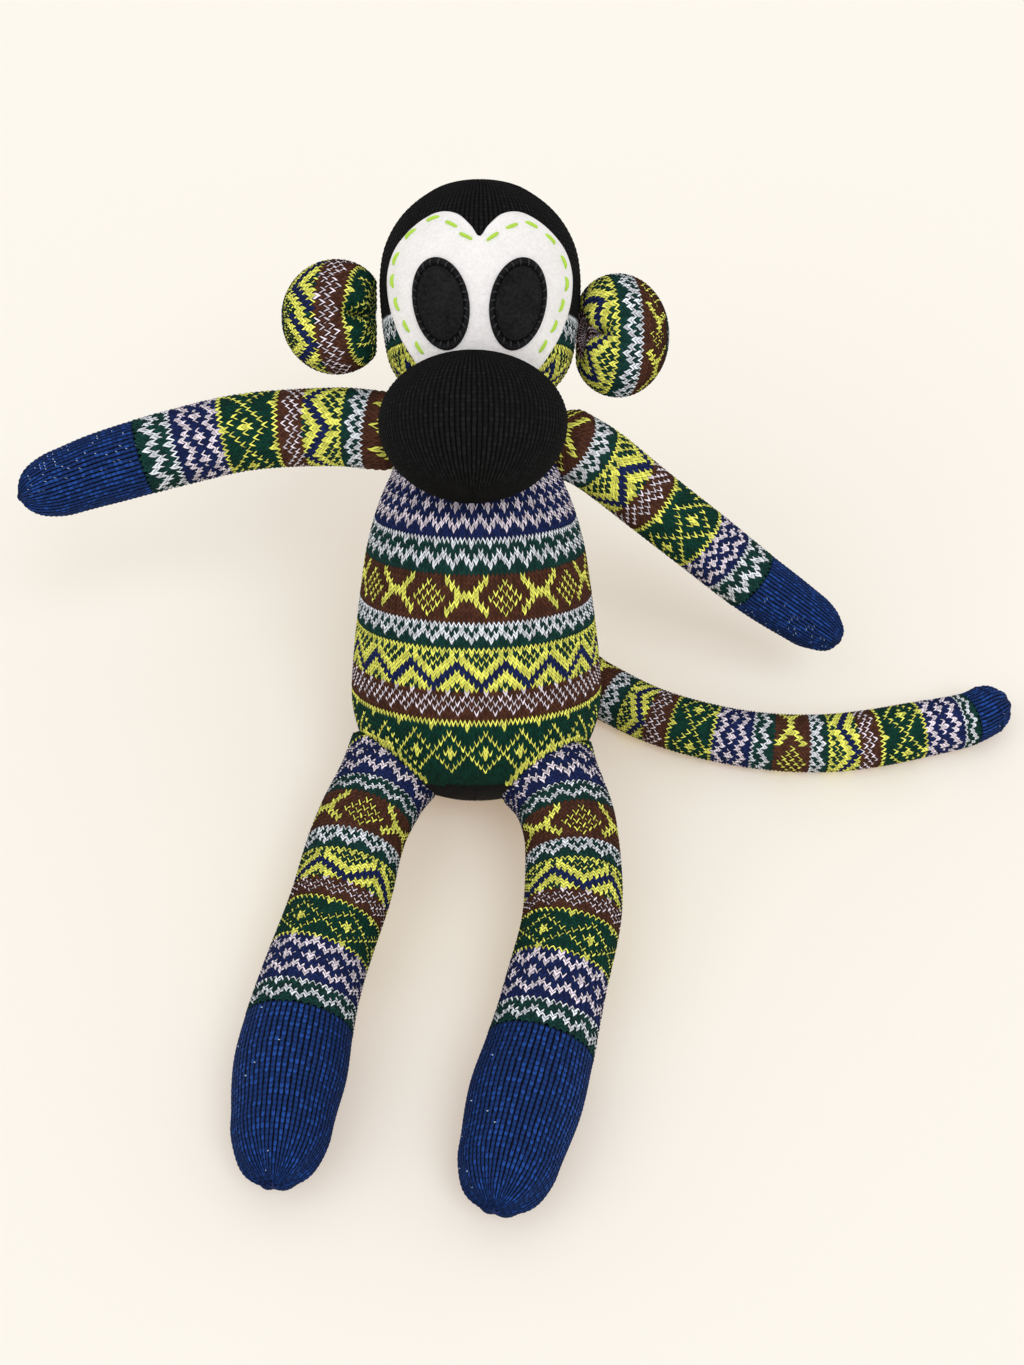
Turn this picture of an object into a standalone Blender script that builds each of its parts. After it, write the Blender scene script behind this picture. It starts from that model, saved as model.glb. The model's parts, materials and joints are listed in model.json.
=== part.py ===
"""Seated sock monkey doll: knitted socks filled with loose stuffing, with a felt face.

The doll sits on the floor (Z = 0) and faces -Y, so its own left side is at +X. The origin is on the
small flat that the seat rests on. Each limb is a knitted sleeve with a round root, which turns in a
shallow dent of the body about the middle of that round.
"""
import math

import bmesh
import bpy
from mathutils import Matrix, Vector

MM = 0.001
DEG = math.pi / 180

# Cloth, thread and fits
SEAM_GAP = 0.3 * MM
KNIT_WALL = 1.2 * MM
FELT_WALL = 1.1 * MM
THREAD_RADIUS = 0.45 * MM
THREAD_DIP_RADIUS = 0.15 * MM
EYE_THREAD_RADIUS = 0.3 * MM
SOCKET_DEPTH = 1.8 * MM
REST_FLAT_DEPTH = 0.5 * MM
OVERRUN = 60 * MM

# Body: distances run along its own axis, from the bottom pole up to the neck
BODY_LEAN = 32 * DEG
BODY_LENGTH = 123 * MM
BODY_RADIUS = 41 * MM
BODY_OUTLINE_SHARES = (
    (0.0, 0.0), (0.016, 0.28), (0.046, 0.5), (0.086, 0.69), (0.142, 0.85), (0.213, 0.955), (0.3, 1.0),
    (0.42, 0.975), (0.52, 0.94), (0.62, 0.898), (0.71, 0.85), (0.8, 0.775), (0.87, 0.69), (0.94, 0.59),
    (1.0, 0.515))
SLOPE_STEP_SHARE = 0.02
HEEL_HEIGHT = 39 * MM
HEEL_FALL = 11 * DEG

# Neck and head: distances run along the head's axis, from the middle of the neck
NECK_RADIUS = 17.5 * MM
NECK_BELOW_LIP = 2 * MM
NECK_BAND_ENDS = (24 * DEG, 96 * DEG)
HEAD_LEAN = 51 * DEG
HEAD_RADIUS = 31.2 * MM
HEAD_LENGTH = 83.2 * MM
HEAD_OUTLINE_SHARES = (
    (0.185, 0.665), (0.24, 0.81), (0.31, 0.905), (0.42, 0.958), (0.53, 0.993), (0.625, 1.0), (0.72, 0.968),
    (0.8, 0.885), (0.87, 0.757), (0.93, 0.583), (0.97, 0.395), (1.0, 0.0))
HEAD_RIM_TURN = 52 * DEG
HEAD_CUP_TURN = 44 * DEG
CROWN_HEIGHT = 38 * MM
FACE_TURN = 3.2 * DEG

# Muzzle, in the head's frame
MUZZLE_HALF_SIZES = (28.5 * MM, 24 * MM, 24 * MM)
MUZZLE_FORWARD = 34.5 * MM
MUZZLE_RISE = 0.5 * MM
NOD_CLEARANCE = 9 * DEG

# Felt face: widths run round the front of the head, heights run up the head's axis
PATCH_HALF_WIDTH = 36.2 * MM
PATCH_HEIGHT = 49.3 * MM
PATCH_BOTTOM = 18 * MM
PATCH_SIDE_SHARES = (
    (0.0, 0.0), (0.35, 0.0), (0.62, 0.0), (0.71, 0.04), (0.75, 0.1), (0.8, 0.165), (0.87, 0.245),
    (0.925, 0.335), (0.975, 0.43), (1.0, 0.55), (0.985, 0.66), (0.91, 0.775), (0.776, 0.87),
    (0.6, 0.955), (0.41, 1.0), (0.22, 0.975), (0.08, 0.89), (0.0, 0.815))
PATCH_MIDDLE_SHARE = 0.45
PATCH_RINGS = 5
EYE_SPREAD = 12.4 * MM
EYE_HEIGHT = 38 * MM
EYE_HALF_WIDTH = 10 * MM
EYE_HALF_LENGTH = 14.2 * MM
EYE_TILT = 9 * DEG
EYE_SIDES = 20
EYE_RINGS = 3
FACE_STITCHES = 18
FACE_STITCH_SHARE = 0.62
FACE_STITCH_SPAN_SHARES = (0.17, 0.83)
STITCH_INSET_SHARE = 0.89

# Ears, in the head's frame
EAR_HALF_SIZES = (17.3 * MM, 9.5 * MM, 18.2 * MM)
EAR_REACH = {"left": 15.5 * MM, "right": 13 * MM}
EAR_RISE = {"left": 34 * MM, "right": 40 * MM}
EAR_SWING_CLEARANCE = 24 * DEG

# Arms: the length runs from the shoulder's centre to where the hand starts to round
ARM_RADIUS = {"left": 11 * MM, "right": 12.5 * MM}
ARM_LENGTH = {"left": 102 * MM, "right": 104 * MM}
ARM_TIP_LENGTH = 17 * MM
ARM_GIRTH_SHARES = ((0.0, 1.0), (0.3, 0.98), (0.6, 0.98), (0.85, 0.95), (1.0, 0.87))
ARM_CUFF_SHARE = {"left": 0.78, "right": 0.76}
SHOULDER_HEIGHT_SHARE = {"left": 0.927, "right": 0.9634}
SHOULDER_BACK_TURN = 18 * DEG
ARM_PATH_SHARES = {
    "left": ((0.0, 0.0, 0.0), (0.096, -0.004, -0.074), (0.262, -0.045, -0.211), (0.431, -0.086, -0.348),
             (0.611, -0.142, -0.486), (0.777, -0.184, -0.603)),
    "right": ((0.0, 0.0, 0.0), (-0.145, 0.022, -0.005), (-0.415, 0.031, -0.034), (-0.65, -0.005, -0.072),
              (-0.868, -0.054, -0.111), (-0.98, -0.09, -0.13))}

# Legs: the length runs from the hip's centre to where the foot starts to round; the feet rest on the floor
LEG_RADIUS = 15.3 * MM
LEG_LENGTH = {"left": 116 * MM, "right": 109 * MM}
LEG_TIP_LENGTH = 22 * MM
LEG_GIRTH_SHARES = (
    (0.0, 1.0), (0.2, 0.97), (0.42, 0.98), (0.6, 1.01), (0.72, 1.06), (0.86, 1.15), (1.0, 1.12))
LEG_CUFF_SHARE = 0.645
HIP_HEIGHT = 15.5 * MM
HIP_TURN = {"left": 41 * DEG, "right": 50 * DEG}
LEG_PATH_SHARES = {
    "left": ((0.0, 0.0, 0.0), (0.02, -0.15, 0.25), (0.018, -0.325, 0.45), (-0.025, -0.51, 0.7),
             (-0.062, -0.665, 0.9), (-0.115, -0.86, 1.0), (-0.143, -0.97, 1.0)),
    "right": ((0.0, 0.0, 0.0), (-0.045, -0.13, 0.15), (-0.085, -0.3, 0.42), (-0.148, -0.54, 0.7),
              (-0.18, -0.7, 0.9), (-0.2, -0.88, 1.0), (-0.206, -0.985, 1.0))}

# Tail, lying on the floor round the doll's left side
TAIL_RADIUS = 9.7 * MM
TAIL_LENGTH = 186 * MM
TAIL_TIP_LENGTH = 12 * MM
TAIL_GIRTH_SHARES = ((0.0, 1.0), (0.3, 0.96), (0.5, 0.97), (0.8, 1.0), (1.0, 0.9))
TAIL_CUFF_SHARE = 0.965
TAIL_HEIGHT = 36 * MM
TAIL_TURN = 176.5 * DEG
TAIL_PATH_SHARES = (
    (0.0, 0.0), (0.059, 0.023), (0.124, -0.007), (0.177, -0.053), (0.212, -0.084), (0.309, -0.148),
    (0.417, -0.19), (0.52, -0.212), (0.622, -0.216), (0.71, -0.205), (0.801, -0.184), (0.89, -0.161),
    (0.944, -0.131), (0.97, -0.116))

# Gathered tips: the hole that the drawn-up cuff leaves, and the knotted thread in it
GATHER_HOLE_RADIUS = 2.2 * MM
KNOT_HALF_THICKNESS = 0.6 * MM

# How finely the soft shapes are cut
BODY_SIDES = 20
ARM_SIDES = 12
LEG_SIDES = 14
TAIL_SIDES = 10
ARM_STATIONS = 6
LEG_STATIONS = 7
TAIL_STATIONS = 12
ROUND_STATIONS = 3
BALL_SIDES = 16
THREAD_SIDES = 5
KNOT_SIDES = 8
CURVE_STEPS = 8
MERGE_DISTANCE = 0.01 * MM
SHARP_ANGLE = 50 * DEG
CUP_TURN = 45 * DEG

# Base colour and roughness of each yarn, felt and thread
FINISHES = {
    "pattern_knit": ((0.16, 0.16, 0.1), 0.9),
    "black_knit": ((0.012, 0.012, 0.014), 0.95),
    "blue_rib": ((0.015, 0.04, 0.22), 0.9),
    "white_felt": ((0.86, 0.84, 0.82), 0.95),
    "black_felt": ((0.014, 0.014, 0.016), 0.95),
    "lime_thread": ((0.62, 0.78, 0.08), 0.8),
    "black_thread": ((0.01, 0.01, 0.01), 0.85),
    "blue_thread": ((0.012, 0.03, 0.17), 0.85),
    "stuffing": ((0.9, 0.9, 0.88), 1.0),
}


class Path:
    """A smooth centre line through a few points, read by the distance along it."""

    def __init__(self, points, up):
        self.up = Vector(up)
        self.samples = smooth_curve(points)
        self.reach = [0.0]
        for start, end in zip(self.samples, self.samples[1:]):
            self.reach.append(self.reach[-1] + (end - start).length)

    def frame(self, distance):
        """The place at a distance, with Z along the line, which runs on straight past its ends."""
        step = 0
        while step < len(self.samples) - 2 and self.reach[step + 1] < distance:
            step += 1
        start, end = self.samples[step], self.samples[step + 1]
        along = (end - start).normalized()
        side = self.up.cross(along).normalized()
        turn = Matrix((side, along.cross(side), along)).transposed().to_4x4()
        return Matrix.Translation(start + along * (distance - self.reach[step])) @ turn


def smooth_curve(points):
    """A Catmull-Rom curve through the points, cut into straight steps."""
    ends = [points[0] * 2 - points[1], *points, points[-1] * 2 - points[-2]]
    curve = []
    for before, start, end, after in zip(ends, ends[1:], ends[2:], ends[3:]):
        for step in range(CURVE_STEPS):
            t = step / CURVE_STEPS
            curve.append(0.5 * (2 * start + (end - before) * t
                                + (2 * before - 5 * start + 4 * end - after) * t ** 2
                                + (3 * start - 3 * end + after - before) * t ** 3))
    curve.append(points[-1])
    return curve


def read_table(table, key):
    """The value at a key of a table of (key, value) pairs, straight between its rows."""
    for (low, low_value), (high, high_value) in zip(table, table[1:]):
        if key <= high:
            return low_value + (high_value - low_value) * (key - low) / (high - low)
    return table[-1][1]


def grow(outline, amount):
    """An outline of (distance, radius) points moved outward by an amount, or inward by a minus one."""
    moved = []
    last = len(outline) - 1
    for index, (distance, radius) in enumerate(outline):
        if radius == 0:
            moved.append((distance + (amount if index else -amount), 0.0))
            continue
        before, after = outline[max(index - 1, 0)], outline[min(index + 1, last)]
        along, out = after[0] - before[0], after[1] - before[1]
        size = math.hypot(along, out)
        moved.append((distance - out / size * amount, radius + along / size * amount))
    return moved


def trim(outline, low, high):
    """The stretch of an outline between two distances."""
    inside = [point for point in outline if low < point[0] < high]
    ends = [(distance, read_table(outline, distance)) for distance in (low, high)]
    return [ends[0], *inside, ends[1]]


def add_stations(outline, distances):
    """The outline with more points at the given distances."""
    return sorted(outline + [(distance, read_table(outline, distance)) for distance in distances])


def stretch(grown, outline, low, high):
    """The points of a grown outline that belong to those of its own outline between two distances."""
    return [point for point, own in zip(grown, outline) if low <= own[0] <= high]


def circles(path, outline, sides):
    """One loop of points for each outline point, square to the path."""
    loops = []
    for distance, radius in outline:
        frame = path.frame(distance)
        loop = []
        for side in range(sides):
            turn = 2 * math.pi * side / sides
            loop.append(frame @ Vector((radius * math.sin(turn), radius * math.cos(turn), 0)))
        loops.append(loop)
    return loops


def lofted(loops, joined=False):
    """A mesh drawn out from loop to loop, with its ends closed or joined to each other."""
    bm = bmesh.new()
    ring = bmesh.ops.create_circle(bm, segments=len(loops[0]), radius=BODY_RADIUS)["verts"]
    first_edges = list({edge for vert in ring for edge in vert.link_edges})
    edges = first_edges
    for vert, point in zip(ring, loops[0]):
        vert.co = point
    for loop in loops[1:] + (loops[:1] if joined else []):
        made = bmesh.ops.extrude_edge_only(bm, edges=edges)["geom"]
        fresh = {item for item in made if isinstance(item, bmesh.types.BMVert)}
        ring = [next(edge.other_vert(vert) for edge in vert.link_edges if edge.other_vert(vert) in fresh)
                for vert in ring]
        drawn = [item for item in made if isinstance(item, bmesh.types.BMEdge)]
        edges = [edge for edge in drawn if fresh.issuperset(edge.verts)]
        for vert, point in zip(ring, loop):
            vert.co = point
    if not joined:
        bmesh.ops.edgeloop_fill(bm, edges=first_edges)
        bmesh.ops.edgeloop_fill(bm, edges=edges)
    bmesh.ops.remove_doubles(bm, verts=bm.verts, dist=MERGE_DISTANCE)
    return bm


def material(name):
    """The material of a named finish, made once."""
    if name in bpy.data.materials:
        return bpy.data.materials[name]
    made = bpy.data.materials.new(name)
    made.use_nodes = True
    shader = made.node_tree.nodes["Principled BSDF"]
    colour, roughness = FINISHES[name]
    shader.inputs["Base Color"].default_value = (*colour, 1)
    shader.inputs["Roughness"].default_value = roughness
    shader.inputs["Metallic"].default_value = 0
    return made


def add_object(name, bm, finish, pivot, cutters=()):
    """Make the mesh an object with its origin at its pivot; without a finish it is only a cutter."""
    bmesh.ops.recalc_face_normals(bm, faces=bm.faces)
    bmesh.ops.translate(bm, verts=bm.verts, vec=-pivot)
    mesh = bpy.data.meshes.new(name)
    bm.to_mesh(mesh)
    bm.free()
    mesh.shade_smooth()
    mesh.set_sharp_from_angle(angle=SHARP_ANGLE)
    made = bpy.data.objects.new(name, mesh)
    made.location = pivot
    bpy.context.scene.collection.objects.link(made)
    for cutter in cutters:
        step = made.modifiers.new("cut", "BOOLEAN")
        step.operation = "DIFFERENCE"
        step.solver = "EXACT"
        step.object = cutter
    if finish:
        mesh.materials.append(material(finish))
    else:
        made.hide_render = True
        made.display_type = "WIRE"
    return made


def add_solid(name, path, outline, sides, finish, pivot, cutters=()):
    """A closed solid of round sections along a path."""
    return add_object(name, lofted(circles(path, outline, sides)), finish, pivot, cutters)


def add_skin(name, path, outer, inner, sides, finish, pivot, cutters=(), closed=""):
    """A knitted skin between two outlines, open at both ends or closed at its root or its tip."""
    shell = circles(path, outer, sides)
    lining = circles(path, inner, sides)
    if closed == "root":
        bm = lofted(lining + shell[::-1])
    elif closed == "tip":
        bm = lofted(shell[::-1] + lining)
    else:
        bm = lofted(lining[::-1] + shell, joined=True)
    return add_object(name, bm, finish, pivot, cutters)


def ball_mesh(frame, half_sizes, sides=BALL_SIDES):
    """A ball of three half sizes in its own frame."""
    bm = bmesh.new()
    bmesh.ops.create_uvsphere(bm, u_segments=sides, v_segments=sides // 2, radius=1,
                              matrix=frame @ Matrix.Diagonal((*half_sizes, 1)))
    return bm


def box_mesh(frame):
    """A large box below the XY plane of its frame."""
    bm = bmesh.new()
    size = 10 * OVERRUN
    bmesh.ops.create_cube(bm, size=size, matrix=frame @ Matrix.Translation((0, 0, -size / 2)))
    return bm


def ball_cutter(name, centre, radius):
    """A ball whose flats still clear the radius."""
    reach = radius / math.cos(math.pi / BALL_SIDES) ** 2
    return add_object(name, ball_mesh(Matrix.Translation(centre), (reach, reach, reach)), "", centre)


def ball_inside(radius, sides):
    """The radius of a ball that clears the flats of a round hollow."""
    return radius * math.cos(math.pi / sides) * math.cos(math.pi / 4 / ROUND_STATIONS) - SEAM_GAP


def hollow_round(radius, sides, last_turn):
    """The outline of a hollow end that clears a ball, from its deepest point to its rim."""
    step = last_turn / ROUND_STATIONS
    reach = (radius + SEAM_GAP) / math.cos(math.pi / sides) / math.cos(step / 2)
    turns = [step * count for count in range(ROUND_STATIONS + 1)]
    return [(reach * math.cos(turn), reach * math.sin(turn)) for turn in turns]


def body_outline():
    """The body's outline as (distance from the bottom pole, radius)."""
    return [(share * BODY_LENGTH, wide * BODY_RADIUS) for share, wide in BODY_OUTLINE_SHARES]


def body_frame():
    """The body's frame at its bottom pole, placed so that its lowest point is cut off as the rest flat."""
    turn = Matrix.Rotation(-BODY_LEAN, 4, "X")
    backs = [turn @ Vector((0, radius, distance)) for distance, radius in body_outline()]
    lowest = min(backs, key=lambda point: point.z)
    return Matrix.Translation((0, -lowest.y, -lowest.z - REST_FLAT_DEPTH)) @ turn


def body_path():
    """The body's axis."""
    frame = body_frame()
    return Path([frame @ Vector((0, 0, 0)), frame @ Vector((0, 0, BODY_LENGTH))], (0, 1, 0))


def neck_centre():
    """The middle of the neck, which the head turns and nods about."""
    return body_frame() @ Vector((0, 0, BODY_LENGTH - NECK_BELOW_LIP))


def head_frame():
    """The head's frame at the middle of the neck."""
    return Matrix.Translation(neck_centre()) @ Matrix.Rotation(-HEAD_LEAN, 4, "X")


def head_path():
    """The head's axis."""
    frame = head_frame()
    return Path([frame @ Vector((0, 0, 0)), frame @ Vector((0, 0, HEAD_LENGTH))], (0, 1, 0))


def head_outline():
    """The head's outline, from the rim of its hollow round the neck to the top."""
    rim = hollow_round(NECK_RADIUS, BODY_SIDES, HEAD_RIM_TURN)[-1]
    return [rim] + [(share * HEAD_LENGTH, wide * HEAD_RADIUS) for share, wide in HEAD_OUTLINE_SHARES]


def root_centre(height, turn, radius):
    """The centre of a limb's round root, sunk a little into the body, at a height and a turn from the front."""
    outline = body_outline()
    step = BODY_LENGTH * SLOPE_STEP_SHARE
    slope = (read_table(outline, height + step) - read_table(outline, height - step)) / (2 * step)
    reach = (radius - SOCKET_DEPTH) / math.hypot(1, slope)
    out = read_table(outline, height) + reach
    return body_frame() @ Vector((out * math.sin(turn), -out * math.cos(turn), height - slope * reach))


def shoulder_centre(side):
    """The centre of an arm's round root."""
    turn = 90 * DEG + SHOULDER_BACK_TURN
    height = SHOULDER_HEIGHT_SHARE[side] * BODY_LENGTH
    return root_centre(height, turn if side == "left" else -turn, ARM_RADIUS[side])


def hip_centre(side):
    """The centre of a leg's round root."""
    turn = HIP_TURN[side]
    return root_centre(HIP_HEIGHT, turn if side == "left" else -turn, LEG_RADIUS)


def tail_centre():
    """The centre of the tail's round root."""
    return root_centre(TAIL_HEIGHT, TAIL_TURN, TAIL_RADIUS)


def arm_path(side):
    """The centre line of an arm."""
    centre = shoulder_centre(side)
    return Path([centre + Vector(share) * ARM_LENGTH[side] for share in ARM_PATH_SHARES[side]], (0, 0, 1))


def leg_path(side):
    """The centre line of a leg, which falls from the hip until the foot rests on the floor."""
    centre = hip_centre(side)
    foot_radius = LEG_RADIUS * max(wide for share, wide in LEG_GIRTH_SHARES)
    fall = centre.z - foot_radius + REST_FLAT_DEPTH
    points = []
    for across, forward, down in LEG_PATH_SHARES[side]:
        step = Vector((across * LEG_LENGTH[side], forward * LEG_LENGTH[side], -down * fall))
        points.append(centre + step)
    return Path(points, (0, 0, 1))


def tail_path():
    """The centre line of the tail, which lies on the floor after its root."""
    centre = tail_centre()
    points = [centre]
    for across, forward in TAIL_PATH_SHARES[1:]:
        point = centre + Vector((across, forward, 0)) * TAIL_LENGTH
        point.z = TAIL_RADIUS - REST_FLAT_DEPTH
        points.append(point)
    return Path(points, (0, 0, 1))


def limb_outline(radius, girth_shares, length, tip_length, stations):
    """A limb's outline: a round root about its joint, a tube, and a long round tip with a small hole."""
    root = radius * girth_shares[0][1]
    tip = radius * girth_shares[-1][1]
    outline = []
    for count in range(ROUND_STATIONS + 1):
        turn = math.pi / 2 * count / ROUND_STATIONS
        outline.append((-root * math.cos(turn), root * math.sin(turn)))
    outline[-1] = (0.0, root)
    for count in range(1, stations + 1):
        share = count / stations
        outline.append((length * share, radius * read_table(girth_shares, share)))
    last_turn = math.acos(GATHER_HOLE_RADIUS / tip)
    for count in range(1, ROUND_STATIONS + 1):
        turn = last_turn * count / ROUND_STATIONS
        outline.append((length + tip_length * math.sin(turn), tip * math.cos(turn)))
    return outline


def add_limb(names, path, outline, cuff, sides, pivot, cutters):
    """A limb's five pieces: patterned sleeve, ribbed tip, filling, wad at the root and knot at the tip."""
    sleeve_name, tip_name, filling_name, wad_name, knot_name = names
    wad_radius = ball_inside(outline[ROUND_STATIONS][1] - KNIT_WALL, sides)
    cup = hollow_round(wad_radius, sides, CUP_TURN)
    cup_rim = cup[-1][0]
    sleeve_end = cuff - SEAM_GAP / 2
    tip_start = cuff + SEAM_GAP / 2
    outline = add_stations(outline, (cup_rim, sleeve_end, tip_start))
    root = outline[0][0]
    tip = outline[-1][0]
    inner = grow(outline, -KNIT_WALL)
    filling = grow(outline, -KNIT_WALL - SEAM_GAP)
    sleeve_outer = stretch(outline, outline, root, sleeve_end)
    sleeve_inner = stretch(inner, outline, root, sleeve_end)
    add_skin(sleeve_name, path, sleeve_outer, sleeve_inner, sides, "pattern_knit", pivot, cutters, closed="root")
    tip_outer = stretch(outline, outline, tip_start, tip)
    tip_inner = stretch(inner, outline, tip_start, tip)
    add_skin(tip_name, path, tip_outer, tip_inner, sides, "blue_rib", pivot, cutters)
    add_solid(filling_name, path, cup + stretch(filling, outline, cup_rim, tip), sides, "stuffing", pivot)
    wad = ball_mesh(path.frame(0), (wad_radius, wad_radius, wad_radius), sides)
    add_object(wad_name, wad, "stuffing", pivot)
    knot_radius = GATHER_HOLE_RADIUS - 2 * SEAM_GAP
    knot = ball_mesh(path.frame(tip), (knot_radius, knot_radius, KNOT_HALF_THICKNESS), KNOT_SIDES)
    add_object(knot_name, knot, "blue_thread", pivot)


def add_arm(side):
    """One arm, cut from the ribbed end of a sock."""
    length = ARM_LENGTH[side]
    outline = limb_outline(ARM_RADIUS[side], ARM_GIRTH_SHARES, length, ARM_TIP_LENGTH, ARM_STATIONS)
    parts = ("arm", "hand", "arm_stuffing", "shoulder_wad", "hand_gather_thread")
    names = [f"{side}_{part}" for part in parts]
    cuff = ARM_CUFF_SHARE[side] * length
    add_limb(names, arm_path(side), outline, cuff, ARM_SIDES, shoulder_centre(side), ())


def add_leg(side, floor):
    """One leg, with the sock's ribbed end gathered to a foot that rests on the floor."""
    length = LEG_LENGTH[side]
    outline = limb_outline(LEG_RADIUS, LEG_GIRTH_SHARES, length, LEG_TIP_LENGTH, LEG_STATIONS)
    parts = ("leg", "foot", "leg_stuffing", "hip_wad", "foot_gather_thread")
    names = [f"{side}_{part}" for part in parts]
    cuff = LEG_CUFF_SHARE * length
    add_limb(names, leg_path(side), outline, cuff, LEG_SIDES, hip_centre(side), (floor,))


def add_tail(floor):
    """The tail, a long thin tube that lies on the floor."""
    outline = limb_outline(TAIL_RADIUS, TAIL_GIRTH_SHARES, TAIL_LENGTH, TAIL_TIP_LENGTH, TAIL_STATIONS)
    names = ("tail", "tail_tip", "tail_stuffing", "tail_root_wad", "tail_gather_thread")
    cuff = TAIL_CUFF_SHARE * TAIL_LENGTH
    add_limb(names, tail_path(), outline, cuff, TAIL_SIDES, tail_centre(), (floor,))


def root_cutters(label, clearance):
    """A ball round each limb's root, with a clearance, that cuts its dent in the body."""
    roots = [("tail", tail_centre(), TAIL_RADIUS)]
    for side in ("left", "right"):
        roots.append((f"{side}_arm", shoulder_centre(side), ARM_RADIUS[side]))
        roots.append((f"{side}_leg", hip_centre(side), LEG_RADIUS))
    cutters = []
    for name, centre, radius in roots:
        cutters.append(ball_cutter(f"cutter_{label}_{name}", centre, radius + clearance))
    return cutters


def heel_frame():
    """The plane of the seam round the heel, which falls toward the back."""
    base = body_frame().translation
    return Matrix.Translation((base.x, base.y, HEEL_HEIGHT)) @ Matrix.Rotation(-HEEL_FALL, 4, "X")


def add_body(floor):
    """The body's knitted skin in two colours, and its filling."""
    path = body_path()
    pivot = body_frame().translation
    outline = body_outline()
    dents = root_cutters("dent", SEAM_GAP)
    inner = grow(outline, -KNIT_WALL)
    core_outline = inner + [(BODY_LENGTH + OVERRUN, inner[-1][1])]
    core = add_solid("cutter_core", path, core_outline, BODY_SIDES, "", pivot,
                     root_cutters("lining", SEAM_GAP + KNIT_WALL))
    plane = heel_frame()
    half_gap = Matrix.Translation((0, 0, SEAM_GAP / 2))
    below = add_object("cutter_below_heel", box_mesh(plane @ half_gap), "", pivot)
    flip = Matrix.Rotation(math.pi, 4, "X")
    above = add_object("cutter_above_heel", box_mesh(plane @ flip @ half_gap), "", pivot)
    add_solid("torso_sock", path, outline, BODY_SIDES, "pattern_knit", pivot, [core, below, *dents])
    add_solid("seat_heel", path, outline, BODY_SIDES, "black_knit", pivot, [core, above, *dents, floor])
    filling = grow(outline, -KNIT_WALL - SEAM_GAP)
    filling = trim(filling, filling[0][0], BODY_LENGTH - SEAM_GAP)
    hollow = ball_cutter("cutter_neck_hollow", neck_centre(), NECK_RADIUS + SEAM_GAP)
    hollows = [hollow, *root_cutters("filling", KNIT_WALL + 2 * SEAM_GAP)]
    add_solid("torso_stuffing", path, filling, BODY_SIDES, "stuffing", pivot, hollows)


def band_outline(radius):
    """The outline of the neck's round skin, on the body's axis."""
    first, last = NECK_BAND_ENDS
    centre = BODY_LENGTH - NECK_BELOW_LIP
    steps = 2 * ROUND_STATIONS
    turns = [last + (first - last) * count / steps for count in range(steps + 1)]
    return [(centre + radius * math.cos(turn), radius * math.sin(turn)) for turn in turns]


def add_neck():
    """The neck: a round band of knit over a ball of stuffing, inside the body's open top."""
    pivot = neck_centre()
    inner_radius = NECK_RADIUS - KNIT_WALL
    add_skin("neck_sock", body_path(), band_outline(NECK_RADIUS), band_outline(inner_radius), BODY_SIDES,
             "pattern_knit", pivot)
    radius = ball_inside(inner_radius, BODY_SIDES)
    frame = Matrix.Translation(pivot) @ Matrix.Rotation(-BODY_LEAN, 4, "X")
    add_object("neck_stuffing", ball_mesh(frame, (radius, radius, radius)), "stuffing", pivot)


def add_head():
    """The head's skin in two colours, and its filling."""
    path = head_path()
    pivot = neck_centre()
    outline = head_outline()
    inner = grow(outline, -KNIT_WALL)
    sock_end = CROWN_HEIGHT - SEAM_GAP / 2
    crown_start = CROWN_HEIGHT + SEAM_GAP / 2
    sock_outer = trim(outline, outline[0][0], sock_end)
    sock_inner = trim(inner, inner[0][0], sock_end)
    add_skin("head_sock", path, sock_outer, sock_inner, BODY_SIDES, "pattern_knit", pivot)
    crown_outer = trim(outline, crown_start, outline[-1][0])
    crown_inner = trim(inner, crown_start, inner[-1][0])
    add_skin("crown", path, crown_outer, crown_inner, BODY_SIDES, "black_knit", pivot, closed="tip")
    filling = grow(outline, -KNIT_WALL - SEAM_GAP)
    cup = hollow_round(NECK_RADIUS, BODY_SIDES, HEAD_CUP_TURN)
    filling = cup + trim(filling, cup[-1][0], filling[-1][0])
    add_solid("head_stuffing", path, filling, BODY_SIDES, "stuffing", pivot)


def patch_lift():
    """How far the felt patch's corners stand off the head, so that its flats clear it."""
    return SEAM_GAP + (PATCH_HALF_WIDTH / PATCH_RINGS) ** 2 / (4 * HEAD_RADIUS)


def eye_lift():
    """How far an eye's corners stand off the head, so that its flats clear the patch."""
    return patch_lift() + FELT_WALL + SEAM_GAP + (EYE_HALF_LENGTH / EYE_RINGS) ** 2 / (4 * HEAD_RADIUS)


def on_face(across, height, lift):
    """A point at a width round the face and a height up the head, lifted off the head's surface."""
    radius = read_table(grow(head_outline(), lift), height)
    turn = across / HEAD_RADIUS + FACE_TURN
    return head_frame() @ Vector((radius * math.sin(turn), -radius * math.cos(turn), height))


def patch_edge():
    """The edge of the felt patch, from the middle of its bottom edge round its left side."""
    half = []
    for wide, high in PATCH_SIDE_SHARES:
        half.append((wide * PATCH_HALF_WIDTH, PATCH_BOTTOM + high * PATCH_HEIGHT))
    return half + [(-across, height) for across, height in half[-2:0:-1]]


def eye_edge(side):
    """The oval edge of an eye, which leans outward at its top."""
    sign = 1 if side == "left" else -1
    edge = []
    for count in range(EYE_SIDES):
        turn = 2 * math.pi * count / EYE_SIDES
        across = EYE_HALF_WIDTH * math.sin(turn)
        height = EYE_HALF_LENGTH * math.cos(turn)
        lean_across = across * math.cos(EYE_TILT) + height * math.sin(EYE_TILT)
        lean_height = height * math.cos(EYE_TILT) - across * math.sin(EYE_TILT)
        edge.append((sign * (EYE_SPREAD + lean_across), EYE_HEIGHT + lean_height))
    return edge


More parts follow.
